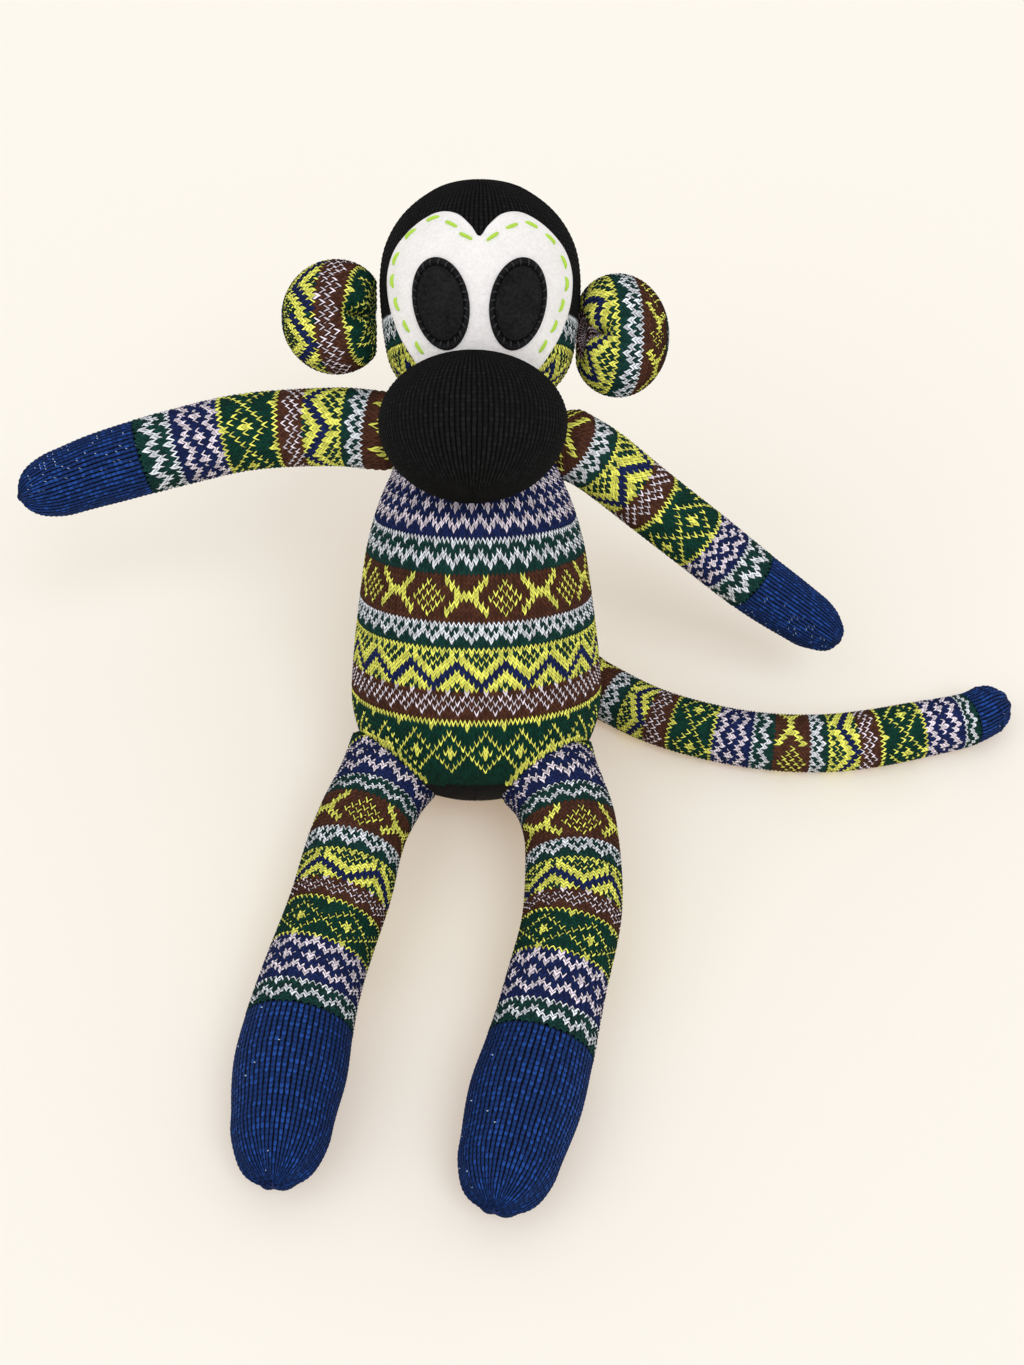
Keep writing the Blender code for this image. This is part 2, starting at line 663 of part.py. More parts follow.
def inset(edge, middle, share):
    """The edge drawn in toward a middle point."""
    moved = []
    for across, height in edge:
        moved.append((middle[0] + (across - middle[0]) * share, middle[1] + (height - middle[1]) * share))
    return moved


def add_felt(name, edge, middle, rings, lift, finish):
    """A piece of felt that follows the head, with a given edge and thickness."""
    shares = [count / rings for count in range(rings + 1)]
    under = [[on_face(*point, lift) for point in inset(edge, middle, share)] for share in shares]
    over = [[on_face(*point, lift + FELT_WALL) for point in inset(edge, middle, share)] for share in shares]
    add_object(name, lofted(under + over[::-1]), finish, neck_centre())


def points_along(edge, shares, lift):
    """Points on the face at shares of the way round an edge."""
    closed = edge + edge[:1]
    reach = [0.0]
    for start, end in zip(closed, closed[1:]):
        reach.append(reach[-1] + math.dist(start, end))
    across = [(distance, point[0]) for distance, point in zip(reach, closed)]
    height = [(distance, point[1]) for distance, point in zip(reach, closed)]
    places = [share * reach[-1] for share in shares]
    return [on_face(read_table(across, place), read_table(height, place), lift) for place in places]


def thread_path(points):
    """The line of a thread on the face, and the distance along it of each point."""
    path = Path(points, -head_frame().col[1].to_3d())
    return path, path.reach[::CURVE_STEPS]


def add_face_stitching(edge, lift):
    """The running stitch round the patch, thin where the real thread dips under the felt."""
    first, last = FACE_STITCH_SPAN_SHARES
    pitch = (last - first) / (FACE_STITCHES - 1)
    half = pitch * FACE_STITCH_SHARE / 2
    shares = [first + pitch * number + step * half for number in range(FACE_STITCHES) for step in (-1, 1)]
    path, stops = thread_path(points_along(edge, shares, lift))
    rows = []
    for start, end in zip(stops[::2], stops[1::2]):
        rows += [(start, THREAD_DIP_RADIUS), (start + THREAD_RADIUS, THREAD_RADIUS)]
        rows += [(end - THREAD_RADIUS, THREAD_RADIUS), (end, THREAD_DIP_RADIUS)]
    add_solid("face_stitching", path, rows, THREAD_SIDES, "lime_thread", neck_centre())


def add_eye_thread(side, edge, lift):
    """The thread sewn round just inside an eye's edge."""
    shares = [count / EYE_SIDES for count in range(EYE_SIDES + 1)]
    path, stops = thread_path(points_along(edge, shares, lift))
    loops = circles(path, [(stop, EYE_THREAD_RADIUS) for stop in stops[:-1]], THREAD_SIDES)
    add_object(f"{side}_eye_thread", lofted(loops, joined=True), "black_thread", neck_centre())


def add_face():
    """The white felt patch, the two black eyes and the threads that hold them."""
    edge = patch_edge()
    middle = (0, PATCH_BOTTOM + PATCH_MIDDLE_SHARE * PATCH_HEIGHT)
    add_felt("face_patch", edge, middle, PATCH_RINGS, patch_lift(), "white_felt")
    stitch_lift = patch_lift() + FELT_WALL + SEAM_GAP + THREAD_RADIUS
    add_face_stitching(inset(edge, middle, STITCH_INSET_SHARE), stitch_lift)
    thread_lift = eye_lift() + FELT_WALL + SEAM_GAP + EYE_THREAD_RADIUS
    for side, sign in (("left", 1), ("right", -1)):
        edge = eye_edge(side)
        middle = (sign * EYE_SPREAD, EYE_HEIGHT)
        add_felt(f"{side}_eye", edge, middle, EYE_RINGS, eye_lift(), "black_felt")
        add_eye_thread(side, inset(edge, middle, STITCH_INSET_SHARE), thread_lift)


def clear_of_flats(outline):
    """An outline made wide enough for the flats of its round sections to clear it."""
    return [(distance, radius / math.cos(math.pi / BODY_SIDES)) for distance, radius in outline]


def nodding_body_cutter(label, clearance):
    """The body as the muzzle meets it when the head nods forward, with a clearance."""
    outline = clear_of_flats(grow(body_outline(), clearance))
    centre = neck_centre()
    bm = lofted(circles(body_path(), outline, BODY_SIDES))
    bmesh.ops.rotate(bm, verts=bm.verts, cent=centre, matrix=Matrix.Rotation(-NOD_CLEARANCE, 3, "X"))
    return add_object(f"cutter_nodding_body_{label}", bm, "", centre)


def add_muzzle():
    """The muzzle: a sock heel, stuffed and sewn over the lower edge of the face."""
    pivot = neck_centre()
    frame = head_frame() @ Matrix.Translation((0, -MUZZLE_FORWARD, MUZZLE_RISE))
    outline = clear_of_flats(grow(head_outline(), patch_lift() + FELT_WALL + SEAM_GAP))
    outline = [(outline[0][0], 0.0), *outline]
    head = add_solid("cutter_head", head_path(), outline, BODY_SIDES, "", pivot)
    neighbours = {}
    for label, clearance in (("skin", SEAM_GAP), ("lining", SEAM_GAP + KNIT_WALL),
                             ("filling", 2 * SEAM_GAP + KNIT_WALL)):
        neck = ball_cutter(f"cutter_neck_{label}", pivot, NECK_RADIUS + clearance)
        neighbours[label] = [neck, nodding_body_cutter(label, clearance)]
    lining = ball_mesh(frame, [size - KNIT_WALL for size in MUZZLE_HALF_SIZES])
    core = add_object("cutter_muzzle_core", lining, "", pivot, neighbours["lining"])
    skin_cutters = [core, head, *neighbours["skin"]]
    add_object("muzzle", ball_mesh(frame, MUZZLE_HALF_SIZES), "black_knit", pivot, skin_cutters)
    filling = ball_mesh(frame, [size - KNIT_WALL - SEAM_GAP for size in MUZZLE_HALF_SIZES])
    add_object("muzzle_stuffing", filling, "stuffing", pivot, [head, *neighbours["filling"]])


def ear_root(side):
    """The frame of an ear's hinge line, on the side of the head, with X pointing outward."""
    sign = 1 if side == "left" else -1
    place = Matrix.Translation((sign * (HEAD_RADIUS + SEAM_GAP), 0, EAR_RISE[side]))
    return head_frame() @ place @ Matrix.Rotation(0 if side == "left" else math.pi, 4, "Z")


def ear_cutters(side, label, clearance):
    """Two slanted boxes that leave the ear room to swing both ways about its hinge line."""
    cutters = []
    for way, turn in (("front", EAR_SWING_CLEARANCE), ("back", -EAR_SWING_CLEARANCE)):
        slant = Matrix.Rotation(turn, 4, "Z") @ Matrix.Rotation(math.pi / 2, 4, "Y")
        frame = ear_root(side) @ slant @ Matrix.Translation((0, 0, clearance))
        name = f"cutter_{side}_ear_{label}_{way}"
        cutters.append(add_object(name, box_mesh(frame), "", frame.translation))
    return cutters


def add_ear(side):
    """One ear: a small stuffed pouch of knit, open where it is sewn to the head."""
    root = ear_root(side)
    frame = root @ Matrix.Translation((EAR_REACH[side], 0, 0))
    pivot = root.translation
    lining = ball_mesh(frame, [size - KNIT_WALL for size in EAR_HALF_SIZES])
    core = add_object(f"cutter_{side}_ear_core", lining, "", pivot)
    skin_cutters = [core, *ear_cutters(side, "skin", 0)]
    add_object(f"{side}_ear", ball_mesh(frame, EAR_HALF_SIZES), "pattern_knit", pivot, skin_cutters)
    filling = ball_mesh(frame, [size - KNIT_WALL - SEAM_GAP for size in EAR_HALF_SIZES])
    add_object(f"{side}_ear_stuffing", filling, "stuffing", pivot, ear_cutters(side, "filling", SEAM_GAP))


def build_doll():
    """Build the seated doll."""
    for old in list(bpy.data.objects):
        bpy.data.objects.remove(old)
    floor = add_object("cutter_floor", box_mesh(Matrix.Identity(4)), "", Vector((0, 0, 0)))
    add_body(floor)
    add_neck()
    add_head()
    add_face()
    add_muzzle()
    add_tail(floor)
    for side in ("left", "right"):
        add_ear(side)
        add_arm(side)
        add_leg(side, floor)


build_doll()
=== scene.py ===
"""Seated sock monkey doll: its knitted skins, felt face and threads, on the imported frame."""
import json
import math

import bmesh
import bpy
import numpy as np
from mathutils import Euler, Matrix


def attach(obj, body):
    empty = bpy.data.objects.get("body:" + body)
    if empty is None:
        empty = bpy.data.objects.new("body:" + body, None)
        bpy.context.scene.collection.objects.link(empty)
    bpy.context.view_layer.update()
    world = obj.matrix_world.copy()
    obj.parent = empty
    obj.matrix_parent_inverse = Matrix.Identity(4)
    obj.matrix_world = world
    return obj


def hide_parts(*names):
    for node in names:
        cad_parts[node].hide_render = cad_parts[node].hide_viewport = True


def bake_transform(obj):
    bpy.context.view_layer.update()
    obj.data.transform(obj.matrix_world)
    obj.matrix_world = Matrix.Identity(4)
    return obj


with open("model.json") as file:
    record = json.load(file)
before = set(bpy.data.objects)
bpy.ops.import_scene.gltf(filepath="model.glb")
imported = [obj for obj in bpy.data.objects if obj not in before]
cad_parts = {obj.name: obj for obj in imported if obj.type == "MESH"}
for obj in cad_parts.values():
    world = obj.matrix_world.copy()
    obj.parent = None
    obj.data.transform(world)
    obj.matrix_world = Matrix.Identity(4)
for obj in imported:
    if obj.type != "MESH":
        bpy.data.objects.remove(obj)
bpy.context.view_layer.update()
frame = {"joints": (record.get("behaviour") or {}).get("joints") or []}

MM = 0.001
DEG = math.pi / 180
anchor = {joint["name"]: np.array(joint["pos_m"]) for joint in frame["joints"]}

# Camera: it looks down on the seated doll from the front, from about 70 cm away.
CAMERA_PLACE = (11.8 * MM, -430.5 * MM, 544.6 * MM)
CAMERA_TILT = 40.5 * DEG
FOCAL_LENGTH = 52.75
camera_data = bpy.data.cameras.new("camera")
camera_data.lens = FOCAL_LENGTH
camera_data.sensor_width = 36
camera = bpy.data.objects.new("camera", camera_data)
camera.location = CAMERA_PLACE
camera.rotation_euler = Euler((CAMERA_TILT, 0, 0))
bpy.context.scene.collection.objects.link(camera)
bpy.context.scene.camera = camera
bpy.context.scene.view_settings.view_transform = "Standard"


# Floor and light: a wide sheet of cream paper under an even white sky, with two broad soft lamps
# above it. The paper also glows faintly warm, a painted light of its own, so the doll throws only faint, warm
# shadows.
PAPER = (254, 249, 239)
PAPER_GLOW = (0.34, 0.23, 0.145, 1)
PAPER_RADIUS = 4.0
SKY_STRENGTH = 0.66
SKY_COLOUR = (1.0, 1.0, 1.0, 1)
LAMP_COLOUR = (1.0, 1.0, 1.0)
LAMPS = (("key_lamp", (36 * DEG, 0, 28 * DEG), 0.56, 30 * DEG),
         ("fill_lamp", (44 * DEG, 0, -52 * DEG), 0.32, 50 * DEG))


def linear(colour, tone=1.0):
    """A colour of three numbers up to 255, as a shader takes it."""
    shares = [number / 255 for number in colour]
    return [tone * (share / 12.92 if share < 0.04 else ((share + 0.055) / 1.055) ** 2.4)
            for share in shares] + [1]


class Value:
    """A socket of one number that sums can be written with."""

    def __init__(self, shader, socket):
        self.shader = shader
        self.socket = socket

    def math(self, operation, first, second):
        answer = self.shader.node("Math", {"operation": operation}, {0: first, 1: second}, "Value")
        return Value(self.shader, answer)

    def __add__(self, other):
        return self.math("ADD", self, other)

    def __mul__(self, other):
        return self.math("MULTIPLY", self, other)

    def __rsub__(self, other):
        return self.math("SUBTRACT", other, self)

    __radd__ = __add__
    __rmul__ = __mul__


class Shader:
    """The nodes of one material or sky, made one at a time."""

    def __init__(self, tree):
        self.tree = tree

    def node(self, kind, settings, sockets, output=0):
        made = self.tree.nodes.new("ShaderNode" + kind)
        for name, setting in settings.items():
            if name == "stops":
                for stop, (place, colour) in zip(self.ramp_stops(made, len(setting)), setting):
                    stop.position, stop.color = place, colour
            else:
                setattr(made, name, setting)
        self.feed(made, sockets)
        return made.outputs[output]

    def ramp_stops(self, ramp, count):
        stops = ramp.color_ramp.elements
        while len(stops) < count:
            stops.new(1)
        return stops

    def feed(self, node, sockets):
        for name, item in sockets.items():
            item = item.socket if isinstance(item, Value) else item
            if isinstance(item, bpy.types.NodeSocket):
                self.tree.links.new(item, node.inputs[name])
            else:
                node.inputs[name].default_value = item


def new_material(name, sockets):
    """A plain material with the given sockets of its main shader, and its nodes."""
    made = bpy.data.materials.new(name)
    made.use_nodes = True
    shader = Shader(made.node_tree)
    main = made.node_tree.nodes["Principled BSDF"]
    shader.feed(main, sockets)
    return made, shader, main


def link(name, mesh):
    """The mesh as an object of the scene."""
    made = bpy.data.objects.new(name, mesh)
    bpy.context.scene.collection.objects.link(made)
    return made


paper_shape = bmesh.new()
bmesh.ops.create_circle(paper_shape, cap_ends=True, segments=64, radius=PAPER_RADIUS)
paper_mesh = bpy.data.meshes.new("paper")
paper_shape.to_mesh(paper_mesh)
paper_shape.free()
paper = link("paper", paper_mesh)
# The paper's warm glow is painted light. Its colour is lowered by as much, so lit paper keeps its tone.
paper_base = [whole - glow for whole, glow in zip(linear(PAPER)[:3], PAPER_GLOW)] + [1]
paper_sockets = {"Base Color": paper_base, "Emission Color": PAPER_GLOW, "Emission Strength": 1.0,
                 "Roughness": 1.0, "Specular IOR Level": 0.0}
paper_mesh.materials.append(new_material("paper", paper_sockets)[0])

for lamp_name, lamp_turn, lamp_strength, lamp_spread in LAMPS:
    lamp_data = bpy.data.lights.new(lamp_name, "SUN")
    lamp_data.energy = lamp_strength * math.pi / 2
    lamp_data.angle = lamp_spread
    lamp_data.color = LAMP_COLOUR
    lamp = bpy.data.objects.new(lamp_name, lamp_data)
    lamp.rotation_euler = Euler(lamp_turn)
    bpy.context.scene.collection.objects.link(lamp)

sky = bpy.data.worlds.new("sky")
sky.use_nodes = True
sky_shader = Shader(sky.node_tree)
seen = sky_shader.node("LightPath", {}, {}, "Is Camera Ray")
sky_light = sky_shader.node("Background", {}, {"Color": SKY_COLOUR, "Strength": SKY_STRENGTH})
sky_seen = sky_shader.node("Background", {}, {"Color": linear(PAPER), "Strength": 1.0})
sky_mix = sky_shader.node("MixShader", {}, {0: seen, 1: sky_light, 2: sky_seen})
sky_shader.feed(sky.node_tree.nodes["World Output"], {"Surface": sky_mix})
bpy.context.scene.world = sky


# Body: the leg of a patterned sock, knitted round in bands of two to four fine yarns and stuffed hard.
# Its stitches are Vs that point down. The sock runs on into the neck and the head, and the lower end
# is the sock's heel.
BODY_LEAN = 32 * DEG
BODY_NECK = 121 * MM
SOCK_COLUMNS = 160
SOCK_OUTLINE = (
    (0, 0), (2, 11.5), (5.7, 20.5), (10.6, 28.3), (17.5, 34.9), (26.2, 39.2), (36.9, 41), (51.7, 40), (64, 38.5),
    (76.3, 36.8), (87.3, 34.9), (98.4, 31.8), (107, 28.3), (114.5, 24), (120.5, 19.8), (126, 17.4), (130.5, 17.2),
    (136, 20.9), (141, 25.3), (146.8, 28.3), (155.9, 30), (165, 31), (173, 31.2), (180.9, 30.2), (187.6, 27.6),
    (193.4, 23.6), (198.4, 18), (202, 11.5), (204.2, 0))
# Each band's top, how much wider its stitches are in front than at the sides, and its turn in stitches
SOCK_BANDS = (("D", 159, 0, 0), ("E", 149.6, 0, 0), ("F", 136, 0, 0), ("G", 127.8, 0.05, 0),
              ("A", 113.6, 0.1, -1), ("B", 97.1, 0.1, -1), ("C", 86, 0.08, -2), ("D", 71.4, 0.06, -1),
              ("E", 63.4, 0.02, 1), ("F", 49.8, -0.04, 0), ("G", 40.6, -0.1, 2), ("heel", 20.3, -0.1, 0))
HEEL_ROWS = 30
HEEL_HEIGHT = 39 * MM
HEEL_FALL = 11 * DEG
NECK_BEND = 6 * MM
SEAM_DIP = 4.5 * MM
SEAM_ARCH = 0.022 / MM
DEPTH_REACH = 60 * MM
DEPTH_STEPS = 40
FAR = 1.0
TUCK = 4 * MM
TUCK_TOP = 34 * MM
HEAD_SHIFT = 1.6 * MM
HEAD_WIDE = 1.025
HEAD_SHIFT_RISE = 20 * MM
STITCH_RELIEF = 0.55 * MM
STITCH_LEAN = 0.8
STITCH_WANDER = 0.04
QUADS_ACROSS = 4
QUADS_ALONG = 2
YARNS = {
    "navy": (24, 38, 88), "rose_white": (244, 232, 242), "bottle": (18, 60, 54), "grey_white": (236, 240, 246),
    "brown": (82, 48, 34), "lime": (248, 248, 112), "green": (8, 58, 46), "black": (20, 20, 21),
    "blue": (25, 60, 126), "stuffing": (170, 186, 208)}
LIGHT_YARNS = ("rose_white", "grey_white", "lime")
# Tones of each yarn: three that vary at random from stitch to stitch, and a painted shade for the gap under each row
YARN_TONES_AND_SHADE = (0.8, 1.0, 1.2, 0.3)
# Tones of corded knits: a painted shade for the gaps under each row, two random tones for the cords' tops (the
# lighter one also for the stuffing specks), and a near-black painted shade for the hollows between cords
WALE_TONES_AND_SHADE = (0.4, 0.85, 1.6, 0.08)
NOTCH = (0.3, 0.2)
CREVICE = (0.1, 0.12)
OPENING = 0.3
WALE_LEAN = 0.55
WALE_SWELL = 0.07
WALE_HIGHS = (-1.2, 0.9, 0.65, 0.9)
RIDGE_MIDDLE = 0.4
FLOOR_GAP = 0.15 * MM
SEAM_MERGE = 0.01 * MM
# Two-yarn bands: ground yarn, second yarn, stitches in one repeat, and the second yarn's places in each row
MOTIFS = {
    "A": ("navy", "rose_white", 4, ((0,), (-1, 0, 1), (-1, 1, 2), (2,), (0,), (-1, 0, 1), (0,), (2,), (-1, 1, 2),
                                    (-1, 0, 1), (0,), ())),
    "B": ("bottle", "grey_white", 4, ((0, 1, 2, 3), (0,), (2,), (-1, 1, 2), (-1, 0, 1), (0,), ())),
    "C": ("brown", "lime", 16, ((-4, 4), (-4, -3, 3, 4, 8), (-3, -2, 2, 3, 7, 9), (-2, -1, 0, 1, 2, 6, 8, 10),
                                (-2, -1, 0, 1, 2, 5, 7, 9, 11), (-3, -2, 2, 3, 6, 8, 10), (-4, -3, 3, 4, 7, 9),
                                (-4, 4, 8), ())),
    "D": ("bottle", "grey_white", 4, ((0, 1, 2, 3), (0, 2), (1, 2, 3), (-1, 0, 1), (0,), ())),
    "F": ("brown", "rose_white", 4, ((2,), (-1, 1), (0, 2), (-1, 1), (0,), ())),
    "G": ("green", "lime", 8, (range(8), (4,), (0,), (-1, 1), (-2, 2), (-3, 0, 3), (-4, -1, 0, 1), (-3, 0, 3),
                               (-2, 2), (-1, 1), (0,), range(8)))}
ZIGZAG_ROWS = 10
ZIGZAG_REPEAT = 10
CHART_COLUMNS = 80
BAND_ROWS = {**{band: len(motif[3]) for band, motif in MOTIFS.items()}, "E": ZIGZAG_ROWS}
YARN_NAMES = list(YARNS)


def band_chart(band):
    """The yarn numbers of one repeat of a band, row by row."""
    if band == "E":
        return zigzag_chart()
    ground, second, repeat, rows = MOTIFS[band]
    chart = np.full((len(rows), repeat), YARN_NAMES.index(ground))
    for row, places in enumerate(rows):
        chart[row, list(places)] = YARN_NAMES.index(second)
    return chart


def zigzag_chart():
    """A lime band with a navy zigzag two stitches thick, which is low at the start of the repeat, and dots."""
    chart = np.full((ZIGZAG_ROWS, ZIGZAG_REPEAT), YARN_NAMES.index("lime"))
    for column in range(ZIGZAG_REPEAT):
        step = min(column, ZIGZAG_REPEAT - column)
        chart[[8 - step, 9 - step], column] = YARN_NAMES.index("navy")
        for row, steps in ((1, (1, 3, 5)), (2, (0, 2)), (3, (1,)), (4, (0,)), (8, (5,)), (9, (4,))):
            if step in steps:
                chart[row, column] = YARN_NAMES.index("bottle")
    return chart


def band_rows(bands, shifts):
    """The yarn number of each stitch in a stack of bands, for a number of columns that every repeat divides."""
    stack = []
    for band, shift in zip(bands, shifts):
        chart = band_chart(band)
        stack.append(np.roll(np.tile(chart, (1, CHART_COLUMNS // chart.shape[1])), shift, axis=1))
    return np.vstack(stack)


def smooth(points, steps, first=None, last=None):
    """A smooth curve through the points, with the points that it would pass before and after them."""
    points = np.array(points, float)
    first = 2 * points[0] - points[1] if first is None else first
    last = 2 * points[-1] - points[-2] if last is None else last
    padded = np.vstack([first, points, last])
    t = np.linspace(0, 1, steps, endpoint=False)[:, None]
    spans = []
    for before, start, end, after in zip(padded, padded[1:], padded[2:], padded[3:]):
        square = 2 * before - 5 * start + 4 * end - after
        cube = 3 * start - 3 * end + after - before
        spans.append(0.5 * (2 * start + (end - before) * t + square * t ** 2 + cube * t ** 3))
    return np.vstack([*spans, points[-1:]])


def reach_of(points):
    """The way along a line of points to each of them."""
    return np.concatenate([[0], np.cumsum(np.linalg.norm(np.diff(points, axis=0), axis=1))])


def unit(vectors):
    """The vectors at a length of one."""
    return vectors / np.maximum(np.linalg.norm(vectors, axis=-1, keepdims=True), 1e-12)


def read_points(at, marks, points):
    """Points between marked points."""
    return np.stack([np.interp(at, marks, points[:, axis]) for axis in range(points.shape[1])], axis=-1)


class Outline:
    """The radius of a round skin against distance, read by the way along the skin itself."""

    def __init__(self, points, closed_start, closed_end, steps=8):
        points = np.array(points, float)
        mirror = np.array((1, -1))
        first = points[1] * mirror if closed_start else None
        last = points[-2] * mirror if closed_end else None
        self.points = smooth(points, steps, first, last)
        self.points[:, 1] = np.maximum(self.points[:, 1], 0)
        self.way = reach_of(self.points)

    def way_to(self, distance):
        return np.interp(distance, self.points[:, 0], self.way)

    def at(self, way):
        distance, radius = read_points(way, self.way, self.points).T
        return distance, radius


def yarn_materials(names, tones):
    """The materials of the yarns: dyed spun yarn with a fuzzy, matt surface, one for each given tone; the darkest
    tones are painted shade for the gaps and hollows between stitches.
    """
    made = []
    for name in names:
        for tone in tones:
            label = f"{name}_yarn_{round(tone * 100)}"
            if label not in bpy.data.materials:
                sockets = {"Base Color": linear(YARNS[name], tone), "Roughness": 0.8, "Specular IOR Level": 0.16}
                material, shader, main = new_material(label, sockets)
                place = shader.node("TexCoord", {}, {}, "Object")
                fibres = shader.node("TexNoise", {}, {"Vector": place, "Scale": 2600, "Detail": 2})
                bump = shader.node("Bump", {}, {"Height": fibres, "Strength": 0.35, "Distance": 0.0003})
                shader.feed(main, {"Normal": bump})
            made.append(bpy.data.materials[label])
    return made


def grid_mesh(name, across, along):
    """A flat grid, and how far across and along it each corner and each face is, from 0 to 1."""
    bm = bmesh.new()
    bmesh.ops.create_grid(bm, x_segments=across, y_segments=along, size=0.5)
    mesh = bpy.data.meshes.new(name)
    bm.to_mesh(mesh)
    bm.free()
    corners = np.zeros(len(mesh.vertices) * 3)
    mesh.vertices.foreach_get("co", corners)
    middles = np.zeros(len(mesh.polygons) * 3)
    mesh.polygons.foreach_get("center", middles)
    return mesh, corners.reshape(-1, 3)[:, :2] + 0.5, middles.reshape(-1, 3)[:, :2] + 0.5


def close_mesh(mesh, points, flip):
    """Put the grid's corners in place, close its seam and poles, and turn its faces outward."""
    mesh.vertices.foreach_set("co", points.astype(np.float32).ravel())
    bm = bmesh.new()
    bm.from_mesh(mesh)
    bmesh.ops.remove_doubles(bm, verts=bm.verts, dist=SEAM_MERGE)
    if flip:
        bmesh.ops.reverse_faces(bm, faces=bm.faces)
    bm.to_mesh(mesh)
    bm.free()
    mesh.shade_smooth()


def knit(name, columns, rows, place, yarn_at, mould=None, wales=None, leaves_out=None):
    """A knitted skin of V-shaped stitches, two rows of four faces each. place gives the point at a turn and a
    row, and yarn_at the yarn of a stitch. With wales, its columns stand up as cords, and that share of the
    hollows between them shows stuffing."""
    first, last = rows
    mesh, corners, middles = grid_mesh(name, columns * QUADS_ACROSS, (last - first) * QUADS_ALONG)
    across, row = corners[:, 0] * columns, first + corners[:, 1] * (last - first)
    part = np.round((across - np.floor(across + 1e-4)) * QUADS_ACROSS) / QUADS_ACROSS
    column = np.round(across - part).astype(int) % columns
    level = np.floor(row + 1e-4).astype(int)
    chance = np.random.default_rng(columns * 100 + first + len(name))
    wander = chance.normal(0, STITCH_WANDER, (columns, last - first + 1, 2))[column, level - first]
    spots = np.indices((columns, last - first)).reshape(2, -1) + np.array([[0], [first]])
    cloth = yarn_at(*spots).reshape(columns, last - first)
    pale = np.isin(cloth, [YARN_NAMES.index(yarn) for yarn in LIGHT_YARNS])
    rise = np.zeros_like(cloth)
    rise[:, 1:] = pale[:, 1:].astype(int) - pale[:, :-1]
    inner = part > 0
    before = np.where(inner, column, column - 1)
    number = np.clip(level - first, 0, last - first - 1)
    rises = np.stack([rise[column % columns, number], rise[before % columns, number]])
    edge = np.abs(2 * part - 1)
    on_line = np.abs(row - level) < 0.1
    opened = np.where(rises.min(0) < 0, -OPENING * edge, 0)
    notch_gap = NOTCH[0] + NOTCH[1] * (1 - edge)
    gap = np.where(rises.max(0) > 0, notch_gap, CREVICE[0] + CREVICE[1] * (1 - edge))
    bend = np.where(on_line, opened, gap - 0.5)
    spread = 0 if wales is None else WALE_SWELL * np.sign(part - 0.5) * (edge == 0.5)
    lean = (STITCH_LEAN if wales is None else WALE_LEAN) * (0.5 - edge)
    leaned = row + lean + bend + wander[:, 0] * inner
    turn = 2 * math.pi * (across + spread + wander[:, 1] * inner) / columns
    points = place(turn, leaned)
    step_turn, step_row = 1e-3, 0.05
    out = np.cross(place(turn + step_turn, leaned) - points, place(turn, leaned + step_row) - points)
    flip = np.sum(out * (points - place(turn + math.pi, leaned))) < 0
    normal = unit(-out if flip else out)
    ridge = np.abs(np.sin(2 * math.pi * part)) ** 0.7 * np.where(on_line, 1.0, 0.35)
    ridge = ridge + np.where(on_line, 0.15, 0)
    if wales is not None:
        ridge = np.array(WALE_HIGHS)[np.round(part * QUADS_ACROSS).astype(int)] - 0.5 * (~on_line & inner)
    if mould:
        points = mould(points, normal)
    points = points + normal * ((ridge - RIDGE_MIDDLE) * STITCH_RELIEF)[:, None]
    points[:, 2] = np.maximum(points[:, 2], FLOOR_GAP)
    face_column = np.floor(middles[:, 0] * columns).astype(int) % columns
    face_level = middles[:, 1] * (last - first)
    face_row = np.floor(face_level).astype(int)
    in_gap = face_level - face_row < 0.5
    notched = in_gap & (rise[face_column, face_row] > 0)
    yarns = cloth[face_column, face_row - notched]
    tones = chance.integers(0, 3, (columns, last - first))[face_column, face_row]
    if wales is None:
        # Painted shade: the face row in the gap under the row above takes the dark shade tone.
        tones = np.where(in_gap, 3, tones)
    else:
        face_part = middles[:, 0] * columns % 1
        hollow = (face_part < 0.25) | (face_part > 0.75)
        lucky = (chance.random((columns, last - first)) < wales)[face_column, face_row]
        shows = lucky & in_gap & (face_part > 0.75)
        yarns = np.where(shows, YARN_NAMES.index("stuffing"), yarns)
        # Painted shade: the hollows between cords take the near-black tone and the gaps under each row a dark one;
        # stuffing specks and the cords' tops take lighter tones.
        tones = np.where(shows, 2, np.where(hollow, 3, np.where(in_gap, 0, np.maximum(tones, 1))))
    used = sorted(set(yarns.tolist()))
    slots = np.searchsorted(used, yarns) * len(YARN_TONES_AND_SHADE) + tones
    mesh.polygons.foreach_set("material_index", slots.astype(np.int32))
    all_tones = YARN_TONES_AND_SHADE if wales is None else WALE_TONES_AND_SHADE
    for material in yarn_materials([YARN_NAMES[number] for number in used], all_tones):
        mesh.materials.append(material)
    close_mesh(mesh, points, flip)
    if leaves_out is not None:
        bm = bmesh.new()
        bm.from_mesh(mesh)
        left_out = [leaves_out(YARN_NAMES[number]) for number in used]
        gone = [face for face in bm.faces if left_out[face.material_index // len(YARN_TONES_AND_SHADE)]]
        bmesh.ops.delete(bm, geom=gone, context="FACES")
        bm.to_mesh(mesh)
        bm.free()
    return link(name, mesh)


body_up = np.array((0, math.sin(BODY_LEAN), math.cos(BODY_LEAN)))
body_front = np.array((0, -math.cos(BODY_LEAN), math.sin(BODY_LEAN)))
neck = anchor["head_nod"]
body_pole = neck - body_up * BODY_NECK
HEAD_LEAN = 51 * DEG
head_up = np.array((0, math.sin(HEAD_LEAN), math.cos(HEAD_LEAN)))
head_front = np.array((0, -math.cos(HEAD_LEAN), math.sin(HEAD_LEAN)))
sideways = np.array((1.0, 0, 0))
sock_outline = Outline(np.array(SOCK_OUTLINE) * MM, True, True)


def head_side(turn, radius, above):
    """How far to the side a point is. The head is wider than it is deep, and sits a little to one side."""
    share = np.clip(above / HEAD_SHIFT_RISE, 0, 1)
    return sideways * (np.sin(turn) * radius * (1 + (HEAD_WIDE - 1) * share) + HEAD_SHIFT * share)[:, None]


